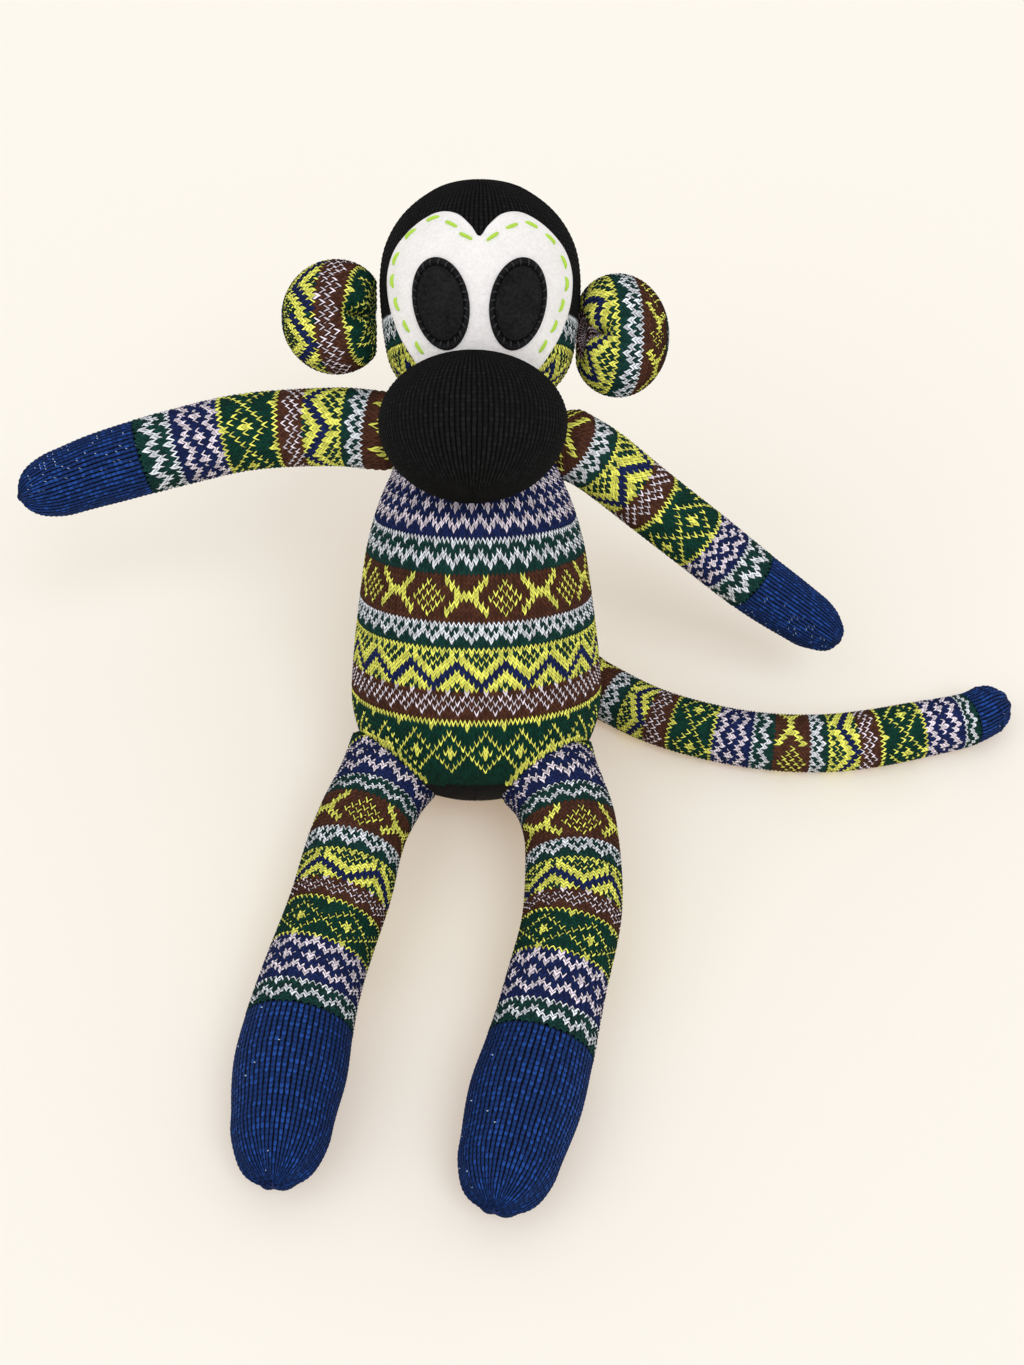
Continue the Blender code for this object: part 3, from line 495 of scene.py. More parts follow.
def sock_place(turn, way):
    """A point on the sock that makes the body, neck and head, by its way up the skin."""
    distance, radius = sock_outline.at(way)
    below = np.minimum(distance - BODY_NECK, 0)
    above = np.maximum(distance - BODY_NECK, 0)
    share = np.clip((distance - BODY_NECK + NECK_BEND) / (2 * NECK_BEND), 0, 1)[:, None]
    centre = neck + body_up * below[:, None] + head_up * above[:, None]
    centre = centre + (head_up - body_up) * (np.maximum(NECK_BEND - np.abs(distance - BODY_NECK), 0) ** 2
                                             / (4 * NECK_BEND))[:, None]
    front = unit(body_front * (1 - share) + head_front * share)
    return centre + head_side(turn, radius, above) + front * (np.cos(turn) * radius)[:, None]


sock_names = [band[0] for band in SOCK_BANDS[:-1]]
sock_marks = [0]
for sock_band in sock_names:
    sock_marks.append(sock_marks[-1] + BAND_ROWS[sock_band])
sock_ways = list(sock_outline.way_to(np.array([band[1] for band in SOCK_BANDS]) * MM))
sock_spreads = [band[2] for band in SOCK_BANDS] + [0]
SOCK_ROWS = sock_marks[-1]
sock_marks.append(SOCK_ROWS + HEEL_ROWS)
sock_ways.append(0)
sock_chart = band_rows(sock_names, [band[3] for band in SOCK_BANDS])


def sock_at(turn, row):
    """A point on the sock by its row, counted down from the crown's seam."""
    spread = turn + np.interp(row, sock_marks, sock_spreads) * np.sin(turn)
    return sock_place(spread, np.interp(row, sock_marks, sock_ways))


def sock_yarn(column, row):
    """The yarn of a stitch of the sock: black in the heel, and a lime row round the top of each leg."""
    pattern = sock_chart[np.minimum(row, SOCK_ROWS - 1), column % CHART_COLUMNS]
    turn = 2 * math.pi * (column + 0.5) / SOCK_COLUMNS
    points = sock_at(turn, row + 0.5)
    ahead = np.clip(np.cos(turn), 0, 1)
    seam = (HEEL_HEIGHT - (points[:, 1] - body_pole[1]) * math.tan(HEEL_FALL)
            - ahead * (SEAM_DIP + SEAM_ARCH * points[:, 0] ** 2))
    yarn = np.where(row >= SOCK_ROWS, YARN_NAMES.index("green"), pattern)
    yarn = np.where(row == SOCK_ROWS - 1, YARN_NAMES.index("green"), yarn)
    for leg in ("left_leg", "right_leg"):
        near = np.abs(limb_depth(points, limbs[leg], LEG_RING_START) - LEG_RING) < LEG_RING_HALF
        yarn = np.where(near & (row > sock_marks[-4]), YARN_NAMES.index("lime"), yarn)
    in_heel = (points[:, 2] < seam) & (row > sock_marks[-4])
    return np.where(in_heel | ((row >= SOCK_ROWS) & (ahead < 0.5)), YARN_NAMES.index("black"), yarn)


def body_depth(points):
    """How far points are outside the body's skin."""
    reach = points - body_pole
    height = reach @ body_up
    across = np.linalg.norm(reach - height[:, None] * body_up, axis=1)
    rim = sock_outline.points[sock_outline.points[:, 0] < BODY_NECK][::3]
    gap = np.full(len(points), FAR)
    for rim_height, rim_radius in rim:
        gap = np.minimum(gap, np.hypot(height - rim_height, across - rim_radius))
    inside = (height > 0) & (across < np.interp(height, rim[:, 0], rim[:, 1]))
    return np.where(inside, -gap, gap)


def limb_depth(points, limb, start=None):
    """How far points are outside a limb's skin, from a distance along it or from where it is nearly full."""
    line, outline = limb
    if start is None:
        start = outline.points[np.argmax(outline.points[:, 1] > 0.9 * outline.points[:, 1].max()), 0]
    distances = np.linspace(start, start + DEPTH_REACH, DEPTH_STEPS)
    centres = line.at(distances)[0]
    radii = np.interp(distances, outline.points[:, 0], outline.points[:, 1])
    depth = np.full(len(points), FAR)
    for centre, radius in zip(centres, radii):
        depth = np.minimum(depth, np.linalg.norm(points - centre, axis=1) - radius)
    return depth


def run_in(points, normal, depth, width):
    """Lift a skin near a neighbour's so that the two run into each other, and sink what is inside it."""
    lift = width / 4 * np.clip(1 - np.abs(depth) / width, 0, 1) ** 2 + 0.4 * np.clip(depth, -width, 0)
    return points + normal * lift[:, None]


# Limb lines: the legs, arms and tail are stuffed tubes that are sewn to the body at their roots. Their
# centre lines and outlines are drawn here, because the body's skin is drawn towards each root.
LINE_STEPS = 12
ROOT_SHARE = 0.8
LEG_RADIUS = 15.3 * MM
LEG_LENGTH = {"left": 116 * MM, "right": 109 * MM}
LEG_TIP = {"left": 19.5 * MM, "right": 22 * MM}
LEG_GIRTH = ((0, 0.94), (0.1, 0.96), (0.25, 0.99), (0.42, 0.98), (0.6, 1.01), (0.72, 1.06), (0.86, 1.1),
             (1, 0.98))
LEG_PATH = {
    "left": ((0.05, 0.26, 0.18), (0.02, 0.12, 0.12), (0.012, 0, 0), (0.026, -0.15, 0.25),
             (0.018, -0.325, 0.45), (-0.025, -0.51, 0.7), (-0.062, -0.665, 0.9), (-0.115, -0.86, 1),
             (-0.143, -0.97, 1)),
    "right": ((0.05, 0.26, 0.18), (0.02, 0.12, 0.12), (-0.012, 0, 0), (-0.05, -0.13, 0.15),
              (-0.085, -0.3, 0.42), (-0.148, -0.54, 0.7), (-0.18, -0.7, 0.9), (-0.2, -0.88, 1),
              (-0.206, -0.985, 1))}
ARM_RADIUS = {"left": 11 * MM, "right": 12.5 * MM}
ARM_LENGTH = {"left": 102 * MM, "right": 104 * MM}
ARM_TIP = 17 * MM
ARM_GIRTH = ((0, 1), (0.3, 0.98), (0.6, 0.98), (0.85, 0.95), (1, 0.87))
ARM_PATH = {
    "left": ((0, 0, 0), (0.096, -0.004, -0.074), (0.262, -0.045, -0.211), (0.431, -0.086, -0.348),
             (0.611, -0.142, -0.486), (0.777, -0.184, -0.603)),
    "right": ((0, 0, 0), (-0.145, 0.022, -0.005), (-0.415, 0.031, -0.034), (-0.65, -0.005, -0.072),
              (-0.868, -0.054, -0.111), (-0.98, -0.09, -0.13))}
TAIL_RADIUS = 9.7 * MM
TAIL_LENGTH = 186 * MM
TAIL_TIP = 12 * MM
TAIL_GIRTH = ((0, 1), (0.3, 0.96), (0.5, 0.97), (0.8, 1), (1, 0.9))
TAIL_PATH = (
    (0, 0), (0.059, 0.023), (0.124, -0.007), (0.177, -0.053), (0.212, -0.084), (0.309, -0.148), (0.417, -0.19),
    (0.52, -0.212), (0.622, -0.216), (0.71, -0.205), (0.801, -0.184), (0.89, -0.161), (0.944, -0.131), (0.97, -0.116))
FLOOR_SINK = 0.5 * MM
LEG_ROOT_INWARD = (9.5 * MM, 3 * MM)
LEG_ROOT_CUT = 8 * MM
RUN_IN = {"left_leg": 20 * MM, "right_leg": 20 * MM, "left_arm": 4 * MM, "right_arm": 4 * MM, "tail": 8 * MM}


class Line:
    """A limb's centre line. Distances count from its joint, and it runs on straight past both ends."""

    def __init__(self, points, before=0):
        self.points = smooth(points, LINE_STEPS)
        reach = reach_of(self.points)
        self.reach = reach - reach[LINE_STEPS * before]
        self.along = unit(np.gradient(self.points, axis=0))
        self.side = unit(np.cross((0, 0, 1), self.along))

    def at(self, distance):
        inside = np.clip(distance, self.reach[0], self.reach[-1])
        along = unit(read_points(inside, self.reach, self.along))
        side = unit(read_points(inside, self.reach, self.side))
        centre = read_points(inside, self.reach, self.points) + along * (distance - inside)[..., None]
        return centre, side, np.cross(along, side), along


def limb_outline(radius, girth, length, tip, root_reach):
    """A limb's outline, from its round root past its joint to its gathered tip."""
    root = radius * girth[0][1] * (ROOT_SHARE if root_reach else 1)
    rows = [(-root_reach - root * math.cos(turn), root * math.sin(turn))
            for turn in np.linspace(0, math.pi / 2, 5)[:-1]]
    rows.append((-root_reach, root))
    if root_reach:
        rows.append((-root_reach / 2, (root + radius * girth[0][1]) / 2))
        rows.append((0, radius * girth[0][1]))
    rows += [(share * length, radius * wide) for share, wide in girth[1:]]
    rows += [(length + tip * math.sin(turn), radius * girth[-1][1] * math.cos(turn))
             for turn in np.linspace(0, math.pi / 2, 6)[1:]]
    return Outline(rows, True, True)


def leg_points(side):
    """The points of a leg's centre line. It lies on the floor, and its root turns inward inside the body."""
    hip = anchor[f"{side}_leg_lift"]
    fall = hip[2] - LEG_RADIUS * max(wide for share, wide in LEG_GIRTH) + FLOOR_SINK
    points = [hip + np.array((across * LEG_LENGTH[side], ahead * LEG_LENGTH[side], -down * fall))
              for across, ahead, down in LEG_PATH[side]]
    for point, inward in zip(points, LEG_ROOT_INWARD):
        point[0] = hip[0] - math.copysign(inward, hip[0])
    return points


limbs = {}
for side in ("left", "right"):
    leg = Line(leg_points(side), 2)
    root_reach = -leg.reach[0] - LEG_ROOT_CUT
    leg_outline = limb_outline(LEG_RADIUS, LEG_GIRTH, LEG_LENGTH[side], LEG_TIP[side], root_reach)
    limbs[f"{side}_leg"] = (leg, leg_outline)
    shoulder = anchor[f"{side}_arm_lift"]
    arm = Line([shoulder + np.array(share) * ARM_LENGTH[side] for share in ARM_PATH[side]])
    limbs[f"{side}_arm"] = (arm, limb_outline(ARM_RADIUS[side], ARM_GIRTH, ARM_LENGTH[side], ARM_TIP, 0))
tail_root = anchor["tail_lift"]
tail_points = [np.array((tail_root[0] + across * TAIL_LENGTH, tail_root[1] + ahead * TAIL_LENGTH,
                         TAIL_RADIUS - FLOOR_SINK)) for across, ahead in TAIL_PATH]
tail_points[0] = tail_root
limbs["tail"] = (Line(tail_points), limb_outline(TAIL_RADIUS, TAIL_GIRTH, TAIL_LENGTH, TAIL_TIP, 0))

# Body skin: one knitted tube over the stuffing, with a row of lime stitches round the top of each leg.
LEG_RING = 5.8 * MM
LEG_RING_HALF = 1.1 * MM
LEG_RING_START = -8 * MM
TUCK_REACH = 20 * MM


def mould_body(points, normal):
    """The body's skin drawn in between the legs, and run into each limb."""
    low = np.clip(1 - points[:, 2] / TUCK_TOP, 0, 1)
    ahead = np.clip((body_pole[1] - points[:, 1]) / TUCK_REACH, 0, 1)
    between = np.clip(1.6 - np.abs(points[:, 0]) / TUCK_REACH, 0, 1)
    points = points + np.array((0, TUCK, 0)) * (low * ahead * between)[:, None]
    for limb, width in RUN_IN.items():
        points = run_in(points, normal, limb_depth(points, limbs[limb]), width)
    return points


TORSO_TOP_ROW = 34
body = knit("body_knit", SOCK_COLUMNS, (TORSO_TOP_ROW, SOCK_ROWS + HEEL_ROWS), sock_at, sock_yarn,
            mould_body, leaves_out=lambda yarn: yarn == "black")
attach(body, "torso")
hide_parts("torso_sock", "torso_stuffing")

# Seat: the black heel of the sock, which turns under the body between the legs. It is knitted in one with
# the body and ends at a seam, so it is the same skin with the other yarns left out.
seat = knit("seat_heel_knit", SOCK_COLUMNS, (sock_marks[-4], SOCK_ROWS + HEEL_ROWS), sock_at, sock_yarn,
            mould_body, leaves_out=lambda yarn: yarn != "black")
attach(seat, "torso")
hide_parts("seat_heel")

# Neck: the same sock drawn in by a thread between the body and the head. It is made in two halves,
# a lower and an upper one.
NECK_ROW = 26
HEAD_LOW_ROW = 17
neck_low = knit("neck_knit_low", SOCK_COLUMNS, (NECK_ROW, TORSO_TOP_ROW), sock_at, sock_yarn)
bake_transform(neck_low)
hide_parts("neck_sock", "neck_stuffing")
neck_high = knit("neck_knit_high", SOCK_COLUMNS, (HEAD_LOW_ROW, NECK_ROW), sock_at, sock_yarn)
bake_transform(neck_high)

# Head: the foot of the sock, stuffed hard to a ball with polyester fibre. It is knitted in one with the
# neck, and the felt, the muzzle and the ears are sewn to it.
head = knit("head_knit", SOCK_COLUMNS, (0, HEAD_LOW_ROW), sock_at, sock_yarn)
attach(head, "head")
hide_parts("head_sock", "head_stuffing")

# Crown: the sock's black toe, knitted plainly with fine upright columns, which closes the top and back of
# the head. It is knitted on to the head's last row.
CROWN_COLUMNS = 120
CROWN_ROWS = 38
crown_ways = (sock_outline.way[-1], sock_ways[0])


def crown_at(turn, row):
    """A point on the crown by its row, counted down from the top of the head."""
    down = np.clip(row, 0, CROWN_ROWS) / CROWN_ROWS
    return sock_place(turn, crown_ways[0] + (crown_ways[1] - crown_ways[0]) * down)


def plain(name):
    """One yarn everywhere."""
    return lambda column, row: np.full(len(column), YARN_NAMES.index(name))


crown = knit("crown_knit", CROWN_COLUMNS, (0, CROWN_ROWS), crown_at, plain("black"), wales=0)
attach(crown, "head")
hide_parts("crown")

# Face patch: white craft felt about 1 mm thick, cut in the shape of a rounded heart and laid round the
# front of the head. The stitches pull small dents into it.
HEAD_RADIUS = 31.2 * MM
FACE_TURN = 0.5 * DEG
FELT = 1.1 * MM
PATCH_HALF_WIDTH = 34 * MM
PATCH_HEIGHT = 49.3 * MM
PATCH_BOTTOM = 18 * MM
PATCH_SIDE = (
    (0.35, 0), (0.62, 0), (0.71, 0.04), (0.75, 0.1), (0.8, 0.165), (0.87, 0.245), (0.925, 0.335), (0.975, 0.43),
    (1, 0.55), (0.985, 0.66), (0.91, 0.775), (0.776, 0.87), (0.6, 0.955), (0.41, 1), (0.22, 0.975), (0.08, 0.89))
PATCH_NOTCH = 0.815
PATCH_SIDES = 200
FELT_RINGS = ((1.0, -0.9), (1.0, 0.25), (0.996, 0.62), (0.985, 0.9), (0.965, 1.0))
FELT_INNER_RINGS = 14
FELT_INNER_SHARE = 0.93
PATCH_LIFT = 0.1 * MM
DENT_RADIUS = 1.1 * MM
DENT_DEPTH = 0.55 * MM
GROOVE_SHARE = 0.84
GROOVE_WIDTH_SHARE = 0.05
GROOVE_DEPTH = 1.1
EYE_SPREAD = 11.9 * MM
EYE_HEIGHT = 38 * MM
EYE_HALF_WIDTH = 8.9 * MM
EYE_HALF_LENGTH = 14.2 * MM
EYE_TILT = 9 * DEG


def on_face(across, height, lift):
    """A point at a width round the face and a height up the head, lifted off the head's skin."""
    radius = np.interp(height + BODY_NECK, sock_outline.points[:, 0], sock_outline.points[:, 1]) + lift
    turn = across / HEAD_RADIUS + FACE_TURN
    return (neck + head_up * height[:, None] + head_side(turn, radius, height)
            + head_front * (np.cos(turn) * radius)[:, None])


def felt_material(name, colour, mottle, sheen, speck):
    """Pressed wool felt: matt, with tangled fibres and a slight mottling."""
    sockets = {"Roughness": 0.95, "Specular IOR Level": 0.12, "Sheen Weight": sheen}
    material, shader, main = new_material(name, sockets)
    place = shader.node("TexCoord", {}, {}, "Object")
    tangle = shader.node("TexNoise", {}, {"Vector": place, "Scale": 900, "Detail": 4, "Roughness": 0.7})
    clouds = shader.node("TexNoise", {}, {"Vector": place, "Scale": 160, "Detail": 2})
    tone = Value(shader, tangle) * 0.7 + Value(shader, clouds) * 0.3
    spread = shader.node("MapRange", {}, {"Value": tone, "From Min": 0.35, "From Max": 0.65}, "Result")
    colours = {"Factor": spread, 6: linear(mottle), 7: linear(colour)}
    mixed = shader.node("Mix", {"data_type": "RGBA"}, colours, 2)
    bump = shader.node("Bump", {}, {"Height": tangle, "Strength": speck, "Distance": 0.0008})
    shader.feed(main, {"Base Color": mixed, "Normal": bump})
    return material


def felt_piece(name, edge, middle, lift, material, dents=(), groove=None):
    """A cut piece of felt that follows the head, with a rounded cut edge and small dents where it is sewn. Given a
    groove material, a groove sinks inside the edge and its faces take that material, a painted shade.
    """
    sides = len(edge)
    ring_count = len(FELT_RINGS) + FELT_INNER_RINGS
    mesh, corners, middles = grid_mesh(name, sides, ring_count)
    closed = np.vstack([edge, edge[:1]])
    rim = read_points(corners[:, 0] * sides, np.arange(sides + 1), closed)
    marks = np.arange(ring_count + 1)
    inner_shares = list(np.linspace(FELT_INNER_SHARE, 0, FELT_INNER_RINGS + 1))
    shares = [share for share, high in FELT_RINGS] + inner_shares
    highs = [high for share, high in FELT_RINGS] + [1.0] * (FELT_INNER_RINGS + 1)
    share = np.interp(corners[:, 1] * ring_count, marks, shares)
    high = np.interp(corners[:, 1] * ring_count, marks, highs)
    spot = middle + (rim - middle) * share[:, None]
    sink = np.exp(-((share - GROOVE_SHARE) / GROOVE_WIDTH_SHARE) ** 2) * (GROOVE_DEPTH if groove else 0)
    for dent in dents:
        sink = np.maximum(sink, np.exp(-np.sum((spot - dent) ** 2, axis=1) / DENT_RADIUS ** 2))
    points = on_face(spot[:, 0], spot[:, 1], lift + FELT * high - DENT_DEPTH * sink)
    if groove:
        face_share = np.interp(middles[:, 1] * ring_count, marks, shares)
        # Painted shade: faces in the middle of the groove take the darker groove material.
        in_shaded_groove = np.abs(face_share - GROOVE_SHARE) < GROOVE_WIDTH_SHARE / 2
        mesh.polygons.foreach_set("material_index", in_shaded_groove.astype(np.int32))
    out = np.cross(points[1] - points[0], points[sides + 1] - points[0]) @ (points[0] - neck)
    close_mesh(mesh, points, out < 0)
    bm = bmesh.new()
    bm.from_mesh(mesh)
    bmesh.ops.recalc_face_normals(bm, faces=bm.faces)
    bm.to_mesh(mesh)
    bm.free()
    mesh.materials.append(material)
    if groove:
        mesh.materials.append(groove)
    return link(name, mesh)


def edge_points(edge, shares):
    """Points at shares of the way round a closed edge."""
    closed = np.vstack([edge, edge[:1]])
    reach = reach_of(closed)
    return read_points(np.array(shares) % 1 * reach[-1], reach, closed)


def smooth_edge(points, count):
    """A closed edge through the points, cut evenly."""
    points = np.array(points, float)
    curve = smooth(np.vstack([points, points[:1]]), 12, points[-1], points[1])[:-1]
    return edge_points(curve, np.arange(count) / count)


patch_half = [(wide * PATCH_HALF_WIDTH, PATCH_BOTTOM + high * PATCH_HEIGHT) for wide, high in PATCH_SIDE]
notch = (0, PATCH_BOTTOM + PATCH_NOTCH * PATCH_HEIGHT)
other_half = [(-across, height) for across, height in patch_half[::-1]]
patch_edge = smooth_edge([*patch_half, notch, *other_half], PATCH_SIDES)
patch_middle = np.array((0, PATCH_BOTTOM + 0.45 * PATCH_HEIGHT))
FACE_STITCHES = (
    (-13.5, 65), (-7.1, 62.5), (-2.3, 58.2), (5.9, 58.1), (12, 61.9), (18.4, 63.1), (23.6, 59.4), (27, 53),
    (27.8, 46.4), (26.8, 39.5), (25.2, 32.7), (22.6, 26.3), (-18.1, 25.6), (-21.3, 32.6), (-23.6, 39.9),
    (-24.4, 47.3), (-23.5, 54), (-19.9, 61))
STITCH_LENGTH = 4.4 * MM
THREAD = 0.55 * MM
stitch_ends = []
for stitch_x, stitch_height in FACE_STITCHES:
    stitch_turn = math.asin((stitch_x * MM - HEAD_SHIFT) / (HEAD_RADIUS * HEAD_WIDE)) - FACE_TURN
    spot = np.array((stitch_turn * HEAD_RADIUS, stitch_height * MM))
    nearest = int(np.argmin(np.linalg.norm(patch_edge - spot, axis=1)))
    way = unit(patch_edge[(nearest + 4) % PATCH_SIDES] - patch_edge[nearest - 4])
    stitch_ends.append((spot - way * STITCH_LENGTH / 2, spot + way * STITCH_LENGTH / 2))
white_felt = felt_material("white_felt", (253, 250, 249), (238, 234, 233), 0.05, 0.5)
patch = felt_piece("face_patch_felt", patch_edge, patch_middle, PATCH_LIFT, white_felt,
                   [end for ends in stitch_ends for end in ends])
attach(patch, "head")
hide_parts("face_patch")


# Face stitching: a running stitch of twisted lime cotton thread just inside the patch's edge, which holds
# the felt to the head.
THREAD_SIDES = 6
THREAD_TAPER = 0.35
THREAD_MERGE = 0.001 * MM


def add_tube(bm, points, radius):
    """A round thread through the points, thinner at its ends, closed."""
    curve = smooth(points, 3)
    along = unit(np.gradient(curve, axis=0))
    away = unit(curve.mean(0) - neck)
    side = unit(np.cross(along, away))
    front = np.cross(side, along)
    share = np.linspace(0, 1, len(curve))
    wide = radius * np.minimum(1, THREAD_TAPER + (1 - THREAD_TAPER) * np.sin(math.pi * share) ** 0.4)
    wide[[0, -1]] = 0.02 * radius
    made = bmesh.ops.create_grid(bm, x_segments=THREAD_SIDES, y_segments=len(curve) - 1, size=0.5)["verts"]
    for vert in made:
        step = round((vert.co.y + 0.5) * (len(curve) - 1))
        turn = 2 * math.pi * (vert.co.x + 0.5)
        vert.co = curve[step] + (side[step] * math.cos(turn) + front[step] * math.sin(turn)) * wide[step]


def thread_piece(name, paths, radius, material):
    """Several short lengths of one thread as one piece."""
    bm = bmesh.new()
    for path in paths:
        add_tube(bm, path, radius)
    bmesh.ops.remove_doubles(bm, verts=bm.verts, dist=THREAD_MERGE)
    bmesh.ops.recalc_face_normals(bm, faces=bm.faces)
    mesh = bpy.data.meshes.new(name)
    bm.to_mesh(mesh)
    bm.free()
    mesh.shade_smooth()
    mesh.materials.append(material)
    return link(name, mesh)


def thread_material(name, colour):
    """Twisted cotton thread."""
    sockets = {"Base Color": linear(colour), "Roughness": 0.7, "Specular IOR Level": 0.2}
    material, shader, main = new_material(name, sockets)
    place = shader.node("TexCoord", {}, {}, "Object")
    twist = shader.node("TexWave", {"bands_direction": "DIAGONAL"},
                        {"Vector": place, "Scale": 900, "Distortion": 1.5})
    bump = shader.node("Bump", {}, {"Height": twist, "Strength": 0.5, "Distance": 0.0002})
    shader.feed(main, {"Normal": bump})
    return material


def sewn_path(start, end, low, high):
    """A stitch that comes up through the felt, lies on it and goes down again."""
    spots = np.array([start + (end - start) * share for share in (0, 0.12, 0.3, 0.5, 0.7, 0.88, 1)])
    lifts = np.array((low, low * 0.4 + high * 0.6, high, high, high, low * 0.4 + high * 0.6, low))
    return on_face(spots[:, 0], spots[:, 1], lifts)


STITCH_LOW = 0.5 * MM
STITCH_HIGH = FELT + 0.38 * MM
lime_thread = thread_material("lime_thread", (188, 230, 80))
stitch_paths = [sewn_path(start, end, STITCH_LOW, STITCH_HIGH) for start, end in stitch_ends]
stitching = thread_piece("face_stitching_thread", stitch_paths, THREAD, lime_thread)
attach(stitching, "head")
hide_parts("face_stitching")

# Eyes: two black felt ovals, each sewn down with small whipped stitches of black thread inside its edge. The groove
# that the stitches pull in each is painted near-black, a painted shade.
EYE_STITCHES = 26
black_felt = felt_material("black_felt", (40, 40, 41), (14, 14, 16), 0.0, 1.0)
# Painted shade for the eyes' stitched grooves: near-black felt
groove_shade_felt = felt_material("black_felt_groove_shade", (9, 9, 10), (3, 3, 4), 0.0, 1.0)
black_thread = thread_material("black_thread", (52, 52, 55))
EYE_LIFT = FELT + 0.05 * MM
EYE_SIDES = 80
EYE_THREAD = 0.32 * MM
EYE_THREAD_SHARES = (0.97, 0.83)
EYE_THREAD_SLANT = 0.008
EYE_THREAD_LOW = EYE_LIFT + 0.4 * MM
EYE_THREAD_HIGH = EYE_LIFT + FELT + 0.15 * MM
for side, sign in (("left", 1), ("right", -1)):
    eye_middle = np.array((sign * EYE_SPREAD, EYE_HEIGHT))
    eye_turns = 2 * math.pi * np.arange(EYE_SIDES) / EYE_SIDES
    eye_across = EYE_HALF_WIDTH * np.sin(eye_turns)
    eye_high = EYE_HALF_LENGTH * np.cos(eye_turns)
    eye_edge = eye_middle + np.stack([sign * (eye_across * math.cos(EYE_TILT) + eye_high * math.sin(EYE_TILT)),
                                      eye_high * math.cos(EYE_TILT) - eye_across * math.sin(EYE_TILT)], axis=1)
    eye_shares = np.arange(EYE_STITCHES) / EYE_STITCHES
    outer = edge_points(eye_middle + (eye_edge - eye_middle) * EYE_THREAD_SHARES[0], eye_shares)
    inner = edge_points(eye_middle + (eye_edge - eye_middle) * EYE_THREAD_SHARES[1],
                        eye_shares + EYE_THREAD_SLANT)
    eye = felt_piece(f"{side}_eye_felt", eye_edge, eye_middle, EYE_LIFT, black_felt, list(inner), groove_shade_felt)
    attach(eye, "head")
    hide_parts(f"{side}_eye")
    eye_paths = [sewn_path(start, end, EYE_THREAD_LOW, EYE_THREAD_HIGH) for start, end in zip(outer, inner)]
    eye_thread = thread_piece(f"{side}_eye_stitches", eye_paths, EYE_THREAD, black_thread)
    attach(eye_thread, "head")
    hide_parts(f"{side}_eye_thread")

# Muzzle: the heel of the second sock, a black knit with fine upright columns, stuffed hard to an egg and
# sewn over the lower edge of the felt.
MUZZLE_HALF_SIZES = (28.5 * MM, 24 * MM, 24 * MM)
MUZZLE_FORWARD = 34.5 * MM
MUZZLE_RISE = 0.5 * MM
MUZZLE_TOP = 0.9
MUZZLE_COLUMNS = 108
MUZZLE_ROWS = 52
NOD_CLEARANCE = 9 * DEG
CHEST_CLEARANCE = 1.3 * MM
PRESS_STEPS = 4
PRESS_STEP = 3 * MM
muzzle_middle = neck + head_front * MUZZLE_FORWARD + head_up * MUZZLE_RISE
nod_cos, nod_sin = math.cos(NOD_CLEARANCE), math.sin(NOD_CLEARANCE)


def muzzle_at(turn, row):
    """A point on the muzzle by its row, counted down from its top."""
    fall = math.pi * np.clip(row, 0, MUZZLE_ROWS) / MUZZLE_ROWS
    across, ahead, high = MUZZLE_HALF_SIZES
    height = np.where(fall < math.pi / 2, MUZZLE_TOP, 1) * high * np.cos(fall)
    return (muzzle_middle + sideways * (across * np.sin(fall) * np.sin(turn))[:, None]
            + head_front * (ahead * np.sin(fall) * np.cos(turn))[:, None] + head_up * height[:, None])


def mould_muzzle(points, normal):
    """The muzzle pressed clear of the chest, with room for the head to nod."""
    for step in range(PRESS_STEPS):
        nodded = points - neck
        nodded = neck + np.stack([nodded[:, 0], nodded[:, 1] * nod_cos - nodded[:, 2] * nod_sin,
                                  nodded[:, 1] * nod_sin + nodded[:, 2] * nod_cos], axis=1)
        press = np.clip(CHEST_CLEARANCE - body_depth(nodded), 0, PRESS_STEP)
        points = points + (head_front * 0.9 + head_up * 0.4) * press[:, None]
    return points


muzzle = knit("muzzle_knit", MUZZLE_COLUMNS, (0, MUZZLE_ROWS), muzzle_at, plain("black"), mould_muzzle, wales=0)
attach(muzzle, "head")
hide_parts("muzzle", "muzzle_stuffing")

# Ears: round pouches cut from the sock's foot, stuffed lightly, pinched at the front and sewn to the
# sides of the head.
EAR_HALF_SIZES = {"left": (16.2 * MM, 9.5 * MM, 19.6 * MM), "right": (17.3 * MM, 9.5 * MM, 18.2 * MM)}
EAR_REACH = {"left": 14.2 * MM, "right": 13 * MM}
EAR_SWING = 26 * DEG
EAR_CLEARANCE = 0.2 * MM
EAR_CREASE = {"depth": 0.5, "half_width": 0.3, "from_pole": 0.65, "reach": 0.6}
EAR_DIMPLE = {"depth": 0.4, "reach": 0.5}
EAR_COLUMNS = 56
EAR_BANDS = {"left": ("B", "C", "D", "E", "F"), "right": ("D", "E", "F", "G")}
EAR_BACK_TILT = {"left": 16 * DEG, "right": 17 * DEG}


